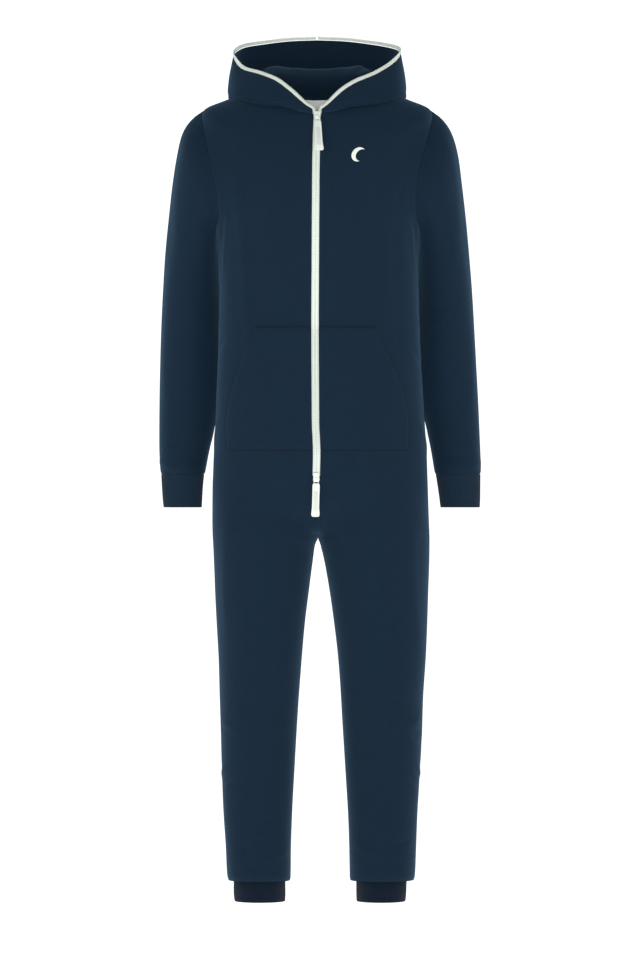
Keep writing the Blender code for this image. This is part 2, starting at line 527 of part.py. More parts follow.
def build_tape(side, word, rim, rim_out):
    """One half of the zip: its tape with a plain row of teeth, up the front and round the hood."""
    row = np.array([r for r in PANEL_ROWS if r <= ZIP_FOOT], float)[::-1]
    turn = start_turn(row, side)
    line = np.concatenate([body(row, turn, side), rim])
    out = np.concatenate([outward(body, row, turn, side), rim_out])
    run = np.gradient(line, axis=0)
    run /= np.linalg.norm(run, axis=-1, keepdims=True)
    out -= run * (out * run).sum(-1, keepdims=True)
    out /= np.linalg.norm(out, axis=-1, keepdims=True)
    across = side * np.cross(out, run)
    line[-1, 0] = side * CROWN_GAP
    across[-1] = np.array([0, across[-1, 1], across[-1, 2]]) / np.linalg.norm(across[-1, 1:])
    on_front = (np.arange(len(line)) < len(row))[:, None]
    edge, under = ZIP_SHOWN - SEAM / 2, np.where(on_front, CLOTH + SEAM, RIM_UNDER)
    hidden = np.where(np.roll(on_front, -1), -ZIP_UNDER, SEAM)
    hidden[-1] = SEAM
    sag = np.where(on_front, TAPE_SAG, 0.0)
    section = [
        (edge, under - CHAIN_PROUD),
        (edge - CHAIN_HALF, under - CHAIN_PROUD),
        (edge - CHAIN_HALF, under),
        (hidden, under + sag),
        (hidden, under + sag + TAPE),
        (edge, under + TAPE),
    ]
    parts = [line + u * across - v * out for u, v in section]
    swept(f"zip_tape_{word}", np.stack(parts, axis=1), CREAM)


def build_label():
    """The plain label in the back of the neck, hanging from its seam."""
    row = np.linspace(LABEL_TOP, LABEL_FOOT, 4)
    place = np.linspace(-LABEL_WIDE / 2, LABEL_WIDE / 2, 5)
    turn = math.pi - np.arcsin(place[None, :] / smooth(RINGS["left"], row)[:, None])
    face = body(row[:, None], turn, LEFT)
    out = outward(body, row[:, None], turn, LEFT)
    near = face - (CLOTH + LABEL_OFF) * out
    wall("neck_label", near, near - LABEL_DEEP * out, WHITE, 0.6)


def arch():
    """The bridge on a slider, seen from its side: along it, then out from the plate."""
    a, b, top, cut, foot = BRIDGE_HALF, BRIDGE_HALF - BRIDGE_BAR, BRIDGE_TOP, BRIDGE_CUT, -BRIDGE_SUNK
    return [(a, foot), (a, top - cut), (a - cut, top), (cut - a, top), (-a, top - cut), (-a, foot),
            (-b, foot), (-b, top - BRIDGE_BAR), (b, top - BRIDGE_BAR), (b, foot)]


def build_slider(word):
    """One slider and its pull. The pull's origin is on its hinge, which lies across the zip."""
    row, lean, tip, stand, lift = SLIDERS[word]
    place = body(row, 0.0, LEFT)
    out = np.array([0, -math.cos(math.radians(tip)), math.sin(math.radians(tip))])
    across = np.array([1.0, 0, 0])
    up = np.cross(out, across)
    up *= math.copysign(1, up[2])
    base = place - out * (CLOTH - CHAIN_PROUD - lift)
    half, wide, nose = SLIDER_LONG / 2, SLIDER_WIDE / 2, SLIDER_NOSE / 2
    corner, tip_in = SLIDER_CORNER, NOSE_CORNER
    outline = [(-wide, half - corner), (corner - wide, half), (wide - corner, half), (wide, half - corner),
               (nose, tip_in - half), (nose * 0.7, -half), (-nose * 0.7, -half), (-nose, tip_in - half)]
    if word == "lower":
        outline = [(u, -v) for u, v in outline]
    points, faces = slab(outline, 0.0, SLIDER_DEEP, (across, up, out))
    shape, rest = slab(arch(), -BRIDGE_WIDE / 2, BRIDGE_WIDE / 2, (up, out, across))
    fused(f"slider_{word}", (points + base, faces), (shape + base + out * SLIDER_DEEP, rest), "UNION",
          CREAM, 0.35)
    pivot = base + out * (SLIDER_DEEP + PIVOT)
    lean, stand = math.radians(lean), math.radians(stand)
    across = np.array([math.cos(lean), 0, math.sin(lean)])
    level = np.array([0, -math.cos(stand), 0]) + math.sin(stand) * np.array([0, 0, 1.0])
    level -= across * (level @ across)
    level /= np.linalg.norm(level)
    along = np.cross(level, across)
    along *= math.copysign(1, along[2])
    axes = (across, along, level)
    neck, tab, widest = TAB_NECK / 2, TAB_WIDE / 2, TAB_SHOULDER + TAB_SLOPE
    outline = [(-neck, TAB_TOP), (neck, TAB_TOP), (neck, -TAB_SHOULDER), (tab, -widest), (tab, -TAB_LONG),
               (-tab, -TAB_LONG), (-tab, -widest), (-neck, -TAB_SHOULDER)]
    points, faces = slab(outline, -TAB_DEEP / 2, TAB_DEEP / 2, axes)
    eye, rest = slab(box_outline(EYE_HALF, -EYE_TOP, -EYE_FOOT), -TAB_DEEP, TAB_DEEP, axes)
    fused(f"pull_tab_{word}", (points + pivot, faces), (eye + pivot, rest), "DIFFERENCE", CREAM, 0.35,
          tuple(pivot))
    wide, end, foot = PULLER_WIDE / 2, PULLER_END / 2, PULLER_TOP + PULLER_LONG
    cut, corner, side = PULLER_CUT, PULLER_CORNER, PULLER_CORNER * 0.4
    right = [(wide - cut, -PULLER_TOP), (wide, -PULLER_TOP - cut), (wide, PULLER_FLARE - foot),
             (end, corner - foot), (end - side, side / 2 - foot), (end - corner, -foot)]
    outline = right + [(-u, v) for u, v in right[::-1]]
    points, faces = slab(outline, -PULLER_DEEP / 2, PULLER_DEEP / 2, axes)
    room = TAB_DEEP / 2 + SEAM
    socket, rest = slab(box_outline(tab + SEAM, SOCKET_TOP - PULLER_TOP, -TAB_LONG - SEAM), -room, room, axes)
    fused(f"puller_{word}", (points + pivot, faces), (socket + pivot, rest), "DIFFERENCE", CREAM_DARK, 0.6,
          tuple(pivot))


def main():
    for obj in list(bpy.data.objects):
        bpy.data.objects.remove(obj, do_unlink=True)
    for side, word in ((RIGHT, "right"), (LEFT, "left")):
        build_panels(side, word)
        build_sleeve(side, word)
        build_ankle(side, word)
        rim, rim_out = build_hood(side, word)
        build_tape(side, word, rim, rim_out)
    build_label()
    for word in SLIDERS:
        build_slider(word)


main()
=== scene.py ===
"""The looks of a hooded one-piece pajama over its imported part, in metres.

+Z is up, +X is the wearer's left and -Y the front, with the origin at the middle of the neck.
The forms repeat the part's own tables: one row of rings for the trunk and the legs, one for the
sleeves and a fan of ribs for the hood. Over them lie the soft folds, the seams, the zip with its
separate teeth, the topstitching, the rib of the cuffs and the two pullers.
"""

import math

import bpy
import numpy as np
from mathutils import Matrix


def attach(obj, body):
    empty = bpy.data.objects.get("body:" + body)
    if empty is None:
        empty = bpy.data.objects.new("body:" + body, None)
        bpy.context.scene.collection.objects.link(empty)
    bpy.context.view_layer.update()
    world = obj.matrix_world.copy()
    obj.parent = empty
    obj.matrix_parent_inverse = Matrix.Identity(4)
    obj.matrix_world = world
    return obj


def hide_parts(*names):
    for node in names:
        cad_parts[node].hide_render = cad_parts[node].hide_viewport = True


# ---------------------------------------------------------------- sizes
CLOTH = 0.0020
RIB = 0.0022
SEAM = 0.0003
SQUARE = 0.03  # how much a body ring is squarer than an ellipse
SQUARING_ROUNDS = 8  # of substitution, to take the squaring off again
SEAM_TURN = -0.0007  # two panels meet with a hair's overlap, as an angle on the body
OVERLAP = 0.0005
TUCK = 0.0026  # how far a sleeve runs on under the armhole, and a cuff under its sleeve
ARMHOLE_FILL, FILL_REACH = 0.021, 0.60  # how far the cloth stands out beside the armholes, and its reach
FULL_SET_IN = math.radians(25)
LEG_FROM, LEG_OVER = -0.69, 0.18  # where the trunk starts to part into legs, and over what height
MIDDLE_REACH = 0.30  # how far from the middle seams, as a sine, the crotch's own curve holds
ARMPIT_REST = 0.0030  # how far a sleeve's inner side comes in to rest on the side below the armpit
REST_Z, REST_REACH, REST_TUCK = -0.292, 0.035, 1.6  # where it rests, and how far its tucked edge leans in
SLEEVE_FADE = 6  # rings over which the armhole's own shape fades out of a sleeve
HOOD_LIFT = -0.0004
INTO_FOLD, WALL_FOLD, INTO_BULGE = 0.68, 0.55, 0.35  # shares of the fold and the bulge in a rib's points

ZIP_SHOWN = 0.0066  # half of the zip that shows between the fronts
ZIP_UNDER = 0.0060  # how far each tape runs on behind its panel
TAPE = 0.0007
RIM_UNDER = 0.0010  # how deep the tape lies under the hood's outer face
TOOTH_PITCH, TOOTH_LONG, TOOTH_REACH, TOOTH_OVER, TOOTH_HIGH = 0.0027, 0.00165, 0.0036, 0.0008, 0.0011
TOOTH_SPREAD, TOOTH_CUT, TOOTH_CUT_AT = 1.15, 0.82, 0.75  # a tooth's edges shrink to the cut above the place
CORD_FROM, TAPE_HIDDEN, TAPE_GAP = 0.0022, 0.0006, 0.0016  # the tape's cord, its hidden edge and its end
TOOTH_SET = 0.00015
TOPSTITCH_IN = 0.0030  # from a panel's edge to its topstitching
STITCH_PITCH, STITCH_LONG, STITCH_WIDE, STITCH_HIGH = 0.0032, 0.0025, 0.0007, 0.00045
EDGE_ROLL, EDGE_DIP = 0.0026, 0.0011  # over what width, and how far, a panel's edge turns in at a seam
SHADOW_LINE_PITCH, SHADOW_LINE_SIZE = 0.0030, (0.0034, 0.0013, 0.0011)  # spacing and size of the near-black bars round a pocket, painted shadow along its edges
SHADOW_LINE_OFF, SHADOW_LINE_UP = 0.0006, 0.0012
STITCH_PULL, STITCH_GROOVE = 0.00045, 0.0009  # how deep and wide the topstitching pulls the cloth in
FOLD_BEND = 0.10
BESIDE, BESIDE_WIDE = 0.35, 2.1  # the share and the width of the fainter bell beside a fold
UNEVEN_SLOW, UNEVEN_CROSS = 0.00045, 0.00032  # heights of the cloth's slow waves
CALM_RINGS, CALM_ARMHOLE = 1.5, 0.16  # where the cloth lies calm: in rings, and in radians off the armhole
GRID, FINE_GRID = 0.0048, 0.0042  # spacing of the points down a panel, and down a pocket or a sleeve
SEAM_ROWS = (0, 0.03, 0.07, 0.12)  # closer rows beside the neck seam
FRONT_STEPS, BACK_STEPS, PANEL_WIDE = 58, 56, 0.28
ZIP_CLOSES, CLOSING = 0.05, 0.55  # the fronts close below the zip: from how far under its foot, and over what

RIGHT, LEFT = -1, 1
SIDES = ((RIGHT, "right"), (LEFT, "left"))

NAVY = (0.0040, 0.0130, 0.0262)
RIB_NAVY = (0.0046, 0.0138, 0.0270)
# The ankle cuffs' rib, darker than the wrist cuffs': painted shade of the lower legs.
SHADED_ANKLE_NAVY = (0.0026, 0.0080, 0.0165)
# Near-black colour of the bars round the pockets: painted shadow along their edges.
PAINTED_SHADOW_NAVY = (0.0010, 0.0028, 0.0060)
CREAM = (0.63, 0.69, 0.62)
TAPE_CREAM = (0.60, 0.66, 0.60)
PULLER_CREAM = (0.63, 0.67, 0.60)
PATCH_GREY = (0.52, 0.56, 0.53)
LABEL_WHITE = (0.95, 0.97, 0.97)
NAP_TINT = (0.32, 0.64, 1.0)
WALE, COURSE = 0.0011, 0.0009  # the knit's columns and rows of loops

# Each finish's colour, roughness, grains for each metre, its bump's strength and depth, and its sheen,
# gloss and mottle.
FINISHES = {
    "rib": (RIB_NAVY, 0.92, 1200, 0.30, 0.0003, 0.16, 0.10, 0.12),
    # darker than the wrist cuffs' rib, with less sheen: painted shade of the lower legs
    "ankle": (SHADED_ANKLE_NAVY, 0.92, 1200, 0.30, 0.0003, 0.10, 0.10, 0.12),
    "tape": (TAPE_CREAM, 0.75, 1500, 0.25, 0.0002, 0.0, 0.4, 0.05),
    "teeth": (CREAM, 0.38, 300, 0.05, 0.0001, 0.0, 0.5, 0.02),
    "puller": (PULLER_CREAM, 0.55, 700, 0.12, 0.0001, 0.0, 0.4, 0.05),
    "patch": (PATCH_GREY, 0.60, 700, 0.10, 0.0001, 0.0, 0.4, 0.05),
    "label": (LABEL_WHITE, 0.80, 1100, 0.20, 0.0002, 0.0, 0.4, 0.05),
    "thread": (NAVY, 0.70, 900, 0.20, 0.0001, 0.0, 0.3, 0.05),
    # near-black bars round the pockets: painted shadow along their edges
    "painted_shadow_line": (PAINTED_SHADOW_NAVY, 0.90, 900, 0.20, 0.0001, 0.0, 0.4, 0.05),
    "moon": (CREAM, 0.60, 1600, 0.40, 0.0002, 0.0, 0.4, 0.05),
}


def columns(names, rows):
    """A table as a dictionary of its named columns."""
    return dict(zip(names.split(), np.array(rows, float).T))


# Rings of the trunk and the legs, from the neck seam down.
RINGS = columns(
    "side_z front_z back_z right left in_right in_left mid front back leg",
    [
        (0.0000, -0.056, -0.021, 0.0980, 0.0980, 0, 0, 0.0005, 0.092, 0.072, 0),
        (-0.0262, -0.085, -0.055, 0.1665, 0.1690, 0, 0, -0.0005, 0.106, 0.092, 0),
        (-0.0435, -0.115, -0.088, 0.2040, 0.2050, 0, 0, -0.0012, 0.115, 0.102, 0),
        (-0.0750, -0.140, -0.115, 0.2090, 0.2080, 0, 0, -0.0017, 0.120, 0.106, 0),
        (-0.1100, -0.165, -0.145, 0.2090, 0.2050, 0, 0, -0.0020, 0.1235, 0.108, 0),
        (-0.1500, -0.192, -0.178, 0.2040, 0.1990, 0, 0, -0.0022, 0.126, 0.108, 0),
        (-0.1950, -0.222, -0.213, 0.1950, 0.1930, 0, 0, -0.0024, 0.1275, 0.107, 0),
        (-0.2400, -0.254, -0.250, 0.1860, 0.1880, 0, 0, -0.0026, 0.1275, 0.106, 0),
        (-0.2800, -0.285, -0.284, 0.1800, 0.1845, 0, 0, -0.0028, 0.1270, 0.105, 0),
        (-0.3300, -0.330, -0.330, 0.1785, 0.1840, 0, 0, -0.0030, 0.1250, 0.102, 0),
        (-0.3850, -0.385, -0.385, 0.1770, 0.1850, 0, 0, -0.0033, 0.1220, 0.098, 0),
        (-0.4390, -0.439, -0.439, 0.1778, 0.1862, 0, 0, -0.0035, 0.1200, 0.097, 0),
        (-0.4850, -0.485, -0.485, 0.1790, 0.1878, 0, 0, -0.0034, 0.1190, 0.099, 0),
        (-0.5300, -0.530, -0.530, 0.1810, 0.1900, 0, 0, -0.0031, 0.1185, 0.103, 0),
        (-0.5760, -0.576, -0.576, 0.1830, 0.1925, 0, 0, -0.0028, 0.1180, 0.110, 0),
        (-0.6160, -0.616, -0.616, 0.1845, 0.1950, 0, 0, -0.0024, 0.1170, 0.116, 0),
        (-0.6560, -0.656, -0.656, 0.1862, 0.1980, 0, 0, -0.0006, 0.1160, 0.120, 0),
        (-0.7040, -0.704, -0.704, 0.1880, 0.1998, 0, 0, -0.0012, 0.1150, 0.122, 0),
        (-0.7180, -0.718, -0.718, 0.1887, 0.2004, 0, 0, -0.0006, 0.1145, 0.122, 0.015),
        (-0.7500, -0.750, -0.750, 0.1893, 0.2015, 0, 0, 0.0005, 0.1130, 0.121, 0.095),
        (-0.7830, -0.783, -0.783, 0.1896, 0.2027, 0.0010, 0.0010, 0.0012, 0.1085, 0.116, 0.31),
        (-0.8040, -0.804, -0.804, 0.1893, 0.2035, 0.0014, 0.0014, 0.0015, 0.1045, 0.112, 0.58),
        (-0.8160, -0.816, -0.816, 0.1888, 0.2038, 0.0017, 0.0019, 0.0018, 0.1015, 0.109, 1),
        (-0.8290, -0.829, -0.829, 0.1880, 0.2038, -0.0040, 0.0066, 0, 0.0980, 0.106, 1),
        (-0.8620, -0.862, -0.862, 0.1862, 0.2032, -0.0088, 0.0142, 0, 0.0938, 0.100, 1),
        (-0.9120, -0.912, -0.912, 0.1838, 0.2012, -0.0152, 0.0228, 0, 0.0900, 0.095, 1),
        (-0.9680, -0.968, -0.968, 0.1808, 0.1990, -0.0218, 0.0308, 0, 0.0862, 0.091, 1),
        (-1.0300, -1.030, -1.030, 0.1778, 0.1960, -0.0274, 0.0382, 0, 0.0815, 0.087, 1),
        (-1.1000, -1.100, -1.100, 0.1766, 0.1917, -0.0326, 0.0434, 0, 0.0760, 0.083, 1),
        (-1.1700, -1.170, -1.170, 0.1742, 0.1900, -0.0371, 0.0474, 0, 0.0700, 0.082, 1),
        (-1.2400, -1.240, -1.240, 0.1716, 0.1862, -0.0409, 0.0510, 0, 0.0640, 0.083, 1),
        (-1.3100, -1.310, -1.310, 0.1684, 0.1815, -0.0444, 0.0555, 0, 0.0600, 0.079, 1),
        (-1.3700, -1.370, -1.370, 0.1646, 0.1790, -0.0468, 0.0580, 0, 0.0590, 0.073, 1),
        (-1.4150, -1.415, -1.415, 0.1628, 0.1775, -0.0474, 0.0592, 0, 0.0595, 0.069, 1),
        (-1.4310, -1.431, -1.431, 0.1606, 0.1755, -0.0482, 0.0598, 0, 0.0570, 0.066, 1),
        (-1.4345, -1.4345, -1.4345, 0.1565, 0.1712, -0.0516, 0.0634, 0, 0.0530, 0.061, 1),
        (-1.4300, -1.430, -1.430, 0.1526, 0.1665, -0.0546, 0.0676, 0, 0.0490, 0.057, 1),
        (-1.4120, -1.412, -1.412, 0.1508, 0.1640, -0.0560, 0.0692, 0, 0.0470, 0.055, 1),
    ],
)
SHOULDER_RING, ARMPIT_RING = 2, 8
POCKET_TOP, POCKET_FOOT = 11, 16
ZIP_FOOT, CROTCH_RING = 17, 22
HEM_RING = len(RINGS["leg"]) - 1

# How far each armhole edge stands off the side line at its rings, in degrees.
ARMHOLE = columns(
    "ring front back",
    [(2, 0, 0), (3, 13, 12), (4, 21, 18), (5, 25, 22), (6, 25, 22), (7, 19, 17), (8, 0, 0)],
)

POCKET_STEPS, POCKET_WIDE = 44, 0.14
POCKET_OFF, POCKET_LOW = 0.0007, 1.3  # how far it stands off its front, and its inner face in seams
SLANT_FOOT, SLANT_RINGS = 13.95, 0.3  # where the hand opening ends
SLANT_HEM, SLANT_FREE, FREE_REACH = 0.0075, 0.0012, 0.012  # its deeper hem, and how free its edge stands

# The pocket's outer edge: the slanted hand opening, then the sewn side.
POCKET = columns(
    "ring right left",
    [(11, 0.1105, 0.1030), (12, 0.1290, 0.1237), (13, 0.1430, 0.1425), (14, 0.1575, 0.1575),
     (15, 0.1625, 0.1625), (16, 0.1594, 0.1609)],
)

# Rings of the sleeves, from the armhole to the cuff seam.
SLEEVE = columns(
    "out_z in_z out_right out_left in_right in_left middle depth",
    [
        (-0.0435, -0.2800, 0.2040, 0.2050, 0.1800, 0.1845, 0.000, 0.056),
        (-0.0600, -0.2818, 0.2265, 0.2270, 0.1806, 0.1850, 0.001, 0.064),
        (-0.0850, -0.2848, 0.2425, 0.2430, 0.1808, 0.1852, 0.004, 0.070),
        (-0.1240, -0.2900, 0.2525, 0.2545, 0.1806, 0.1850, 0.009, 0.0745),
        (-0.1780, -0.2985, 0.2615, 0.2620, 0.1797, 0.1842, 0.015, 0.0765),
        (-0.2400, -0.3150, 0.2690, 0.2695, 0.1780, 0.1828, 0.022, 0.0755),
        (-0.3060, -0.3460, 0.2755, 0.2760, 0.1760, 0.1815, 0.030, 0.0725),
        (-0.3760, -0.3950, 0.2800, 0.2820, 0.1745, 0.1815, 0.036, 0.0680),
        (-0.4450, -0.4550, 0.2825, 0.2862, 0.1748, 0.1825, 0.038, 0.0650),
        (-0.5100, -0.5150, 0.2840, 0.2892, 0.1762, 0.1845, 0.036, 0.0620),
        (-0.5700, -0.5700, 0.2852, 0.2918, 0.1786, 0.1880, 0.031, 0.0580),
        (-0.6200, -0.6200, 0.2855, 0.2938, 0.1858, 0.1985, 0.025, 0.0530),
        (-0.6600, -0.6600, 0.2853, 0.2955, 0.1950, 0.2064, 0.019, 0.0485),
        (-0.6900, -0.6900, 0.2838, 0.2966, 0.2008, 0.2112, 0.015, 0.0455),
        (-0.7000, -0.7000, 0.2812, 0.2950, 0.2036, 0.2142, 0.014, 0.0400),
    ],
)

SLEEVE_END = len(SLEEVE["out_z"]) - 1
SLEEVE_ROUND = 120
SLEEVE_CALM, CUFF_CALM = 2.2, 0.9  # rings over which its cloth is calm below the armhole and above the cuff
INSIDE_CALM, INSIDE_REACH = 0.55, 38  # how much calmer the inside of the arm is, and over how many degrees
GATHERS, GATHER_HIGH, GATHER_RINGS, GATHER_FADE = 34, 0.0007, 0.7, 0.12  # round the arm above the cuff
RING_STEP, SLEEVE_DIP = 0.02, 0.0008  # metres down a sleeve's first ring, and how far both its ends turn in
TUCK_FROM, TUCK_OVER, TUCK_DOWN = -0.27, 0.10, 0.6  # the tuck leans in below, and dips under the edge above

CUFF_ROWS = (0, 0.04, 0.1, 0.2, *np.linspace(0.35, 2.75, 12), 2.85, 2.93, 2.98, 3)
CUFF_RIBS, ANKLE_RIBS, RIB_POINTS = 74, 104, 5
RIB_HIGH, RIB_MEAN, CUFF_SOFT = 0.00034, 0.6, 0.0006
CUFF_HEM, CUFF_SEAM = 0.0010, 0.0007  # how far the hem and the seam turn in
CUFF_UNDER = 0.004  # how far a cuff runs on up inside its sleeve or leg

# Both kinds of cuff, from the seam down to the folded hem.
CUFF = columns(
    "z out_right out_left in_right in_left front back",
    [
        (-0.7003, 0.2812, 0.2950, 0.2036, 0.2142, 0.0260, 0.0540),
        (-0.7200, 0.2798, 0.2944, 0.2052, 0.2170, 0.0235, 0.0505),
        (-0.7450, 0.2782, 0.2942, 0.2068, 0.2206, 0.0220, 0.0485),
        (-0.7605, 0.2770, 0.2940, 0.2080, 0.2230, 0.0215, 0.0480),
    ],
)
ANKLE = columns(
    "z out_right out_left in_right in_left front back",
    [
        (-1.4115, 0.1503, 0.1635, 0.0565, 0.0697, 0.0465, 0.0545),
        (-1.4300, 0.1497, 0.1615, 0.0568, 0.0702, 0.0460, 0.0540),
        (-1.4550, 0.1500, 0.1607, 0.0565, 0.0704, 0.0460, 0.0540),
        (-1.4712, 0.1488, 0.1598, 0.0575, 0.0714, 0.0455, 0.0535),
    ],
)

# Ribs of one half of the hood, from the zip round to the centre seam.
HOOD = columns(
    "neck fold_x fold_y fold_z edge_x edge_y edge_z drop lift pull bulge",
    [
        (4.6, 0.0080, -0.0925, -0.0525, 0.0080, -0.0910, -0.0470, 0.0000, 0.000, 0.000, 0.000),
        (14, 0.0240, -0.0970, -0.0510, 0.0213, -0.0905, -0.0370, 0.0015, 0.001, 0.000, 0.002),
        (26, 0.0430, -0.0955, -0.0478, 0.0364, -0.0870, -0.0230, 0.0027, 0.002, 0.000, 0.003),
        (38, 0.0620, -0.0890, -0.0430, 0.0543, -0.0770, -0.0081, 0.0018, 0.002, 0.000, 0.004),
        (51, 0.0840, -0.0800, -0.0405, 0.0758, -0.0630, 0.0048, -0.0014, 0.003, 0.000, 0.005),
        (64, 0.1140, -0.0680, -0.0350, 0.1050, -0.0390, 0.0185, -0.0010, 0.003, 0.000, 0.005),
        (77, 0.1460, -0.0420, -0.0245, 0.1360, -0.0060, 0.0390, 0.0080, 0.004, 0.000, 0.004),
        (90, 0.1600, 0.0000, -0.0195, 0.1512, 0.0300, 0.0565, 0.0060, 0.005, 0.000, 0.003),
        (104, 0.1580, 0.0440, -0.0225, 0.1495, 0.0680, 0.0690, 0.0040, 0.012, 0.000, 0.004),
        (120, 0.1410, 0.0850, -0.0400, 0.1330, 0.1030, 0.0780, 0.0000, 0.052, 0.010, 0.008),
        (138, 0.1090, 0.1130, -0.0600, 0.1000, 0.1300, 0.0860, 0.0000, 0.082, 0.013, 0.013),
        (159, 0.0580, 0.1330, -0.0770, 0.0520, 0.1470, 0.0933, 0.0000, 0.091, 0.013, 0.018),
        (180, 0.0000, 0.1400, -0.0850, 0.0000, 0.1520, 0.0958, 0.0000, 0.095, 0.013, 0.020),
    ],
)

# Soft folds. Each lies at a turn round its piece and a height, runs at an angle from the level,
# and has a half length, a half width and a height, which is negative for a trough.
FOLD_NAMES = "turn z angle long wide high"
PER_DEGREE = 0.0033  # metres round the trunk or a thigh for each degree of turn
BODY_FOLDS = columns(
    FOLD_NAMES,
    [
        # soft upright ridges below the chest, and one beside each
        (-46, -0.30, 91, 0.200, 0.017, 0.0026),
        (-36, -0.27, 88, 0.140, 0.016, -0.0014),
        (40, -0.29, 89, 0.170, 0.015, 0.0017),
        (31, -0.25, 93, 0.110, 0.015, -0.0010),
        # from the armpits down over the chest
        (-62, -0.235, 62, 0.060, 0.010, -0.0017),
        (-66, -0.285, 70, 0.050, 0.009, 0.0012),
        (62, -0.225, 118, 0.055, 0.010, -0.0016),
        (68, -0.290, 108, 0.050, 0.009, 0.0011),
        # across the shoulders under the hood
        (-34, -0.105, 18, 0.050, 0.010, -0.0009),
        (30, -0.110, 163, 0.045, 0.010, -0.0009),
        # waist over the pocket's ends
        (-76, -0.47, 20, 0.035, 0.009, -0.0013),
        (78, -0.50, 158, 0.040, 0.009, -0.0013),
        (-82, -0.62, 34, 0.045, 0.011, 0.0014),
        (83, -0.64, 148, 0.050, 0.011, 0.0014),
        # puckers at the foot of the zip
        (-4.4, -0.7085, 38, 0.010, 0.0035, 0.0011),
        (-7.5, -0.7200, 30, 0.016, 0.0050, -0.0010),
        (3.4, -0.7000, 140, 0.009, 0.0033, 0.0010),
        (6.5, -0.7220, 152, 0.017, 0.0050, -0.0009),
        # whiskers from the crotch out over the thighs
        (-10, -0.775, 24, 0.045, 0.008, -0.0018),
        (-17, -0.800, 12, 0.048, 0.009, 0.0013),
        (-12, -0.842, -14, 0.040, 0.010, -0.0014),
        (11, -0.770, 154, 0.050, 0.008, -0.0017),
        (18, -0.797, 166, 0.044, 0.009, 0.0013),
        (13, -0.848, 196, 0.042, 0.010, -0.0013),
        # the thighs and the hips
        (-70, -0.88, 84, 0.110, 0.016, 0.0020),
        (-52, -0.93, 96, 0.080, 0.014, -0.0013),
        (66, -0.90, 97, 0.100, 0.016, 0.0019),
        (48, -0.95, 86, 0.075, 0.014, -0.0012),
        # the knees, front and outside
        (-60, -1.115, 14, 0.040, 0.010, -0.0017),
        (-72, -1.150, -16, 0.036, 0.010, 0.0015),
        (-84, -1.235, 20, 0.026, 0.007, 0.0018),
        (-76, -1.252, 16, 0.030, 0.007, -0.0015),
        (-30, -1.180, 8, 0.036, 0.010, -0.0012),
        (62, -1.112, 165, 0.036, 0.010, -0.0016),
        (70, -1.150, 193, 0.038, 0.012, 0.0024),
        (78, -1.182, 170, 0.032, 0.008, -0.0018),
        (84, -1.236, 162, 0.028, 0.007, 0.0019),
        (76, -1.256, 160, 0.032, 0.007, -0.0015),
        (32, -1.200, 172, 0.034, 0.010, -0.0012),
        # the shins above the cuffs
        (-40, -1.345, 12, 0.040, 0.009, 0.0019),
        (-58, -1.372, -10, 0.034, 0.008, -0.0020),
        (-26, -1.385, 6, 0.038, 0.007, 0.0018),
        (-68, -1.400, 8, 0.030, 0.006, 0.0016),
        (-44, -1.407, -4, 0.044, 0.006, -0.0015),
        (42, -1.335, 170, 0.042, 0.009, 0.0018),
        (60, -1.366, 190, 0.034, 0.008, -0.0020),
        (30, -1.378, 174, 0.036, 0.007, 0.0019),
        (70, -1.396, 172, 0.032, 0.006, 0.0015),
        (46, -1.405, 184, 0.040, 0.006, -0.0016),
        # the back: from the armpits, the small of the back and the seat
        (-122, -0.235, 116, 0.070, 0.012, -0.0019),
        (120, -0.245, 62, 0.074, 0.012, -0.0018),
        (-140, -0.210, 100, 0.085, 0.014, 0.0016),
        (138, -0.200, 82, 0.080, 0.014, 0.0015),
        (-150, -0.435, 166, 0.075, 0.012, -0.0021),
        (152, -0.450, 14, 0.070, 0.012, -0.0020),
        (-164, -0.478, 172, 0.060, 0.011, 0.0016),
        (160, -0.492, 8, 0.064, 0.011, 0.0017),
        (-120, -0.500, 158, 0.050, 0.011, -0.0015),
        (122, -0.515, 24, 0.046, 0.011, -0.0014),
        (-162, -0.770, 32, 0.060, 0.011, -0.0022),
        (164, -0.778, 146, 0.056, 0.011, -0.0021),
        (-150, -0.822, 18, 0.064, 0.012, 0.0018),
        (152, -0.830, 160, 0.060, 0.012, 0.0017),
        (-160, -0.868, 6, 0.050, 0.011, -0.0018),
        (158, -0.876, 172, 0.052, 0.011, -0.0017),
        # behind the knees and above the heels
        (-134, -1.120, 168, 0.050, 0.010, -0.0024),
        (-142, -1.160, 8, 0.046, 0.010, 0.0019),
        (-128, -1.198, 172, 0.044, 0.010, -0.0022),
        (136, -1.126, 10, 0.048, 0.010, -0.0023),
        (144, -1.166, 174, 0.046, 0.010, 0.0019),
        (128, -1.204, 6, 0.046, 0.010, -0.0021),
        (-132, -1.340, 12, 0.046, 0.009, 0.0021),
        (-150, -1.368, 170, 0.040, 0.008, -0.0021),
        (-120, -1.390, 6, 0.044, 0.007, 0.0019),
        (134, -1.336, 168, 0.044, 0.009, 0.0020),
        (150, -1.364, 10, 0.040, 0.008, -0.0020),
        (122, -1.388, 174, 0.042, 0.007, 0.0019),
    ],
)
SLEEVE_PER_DEGREE = 0.00082
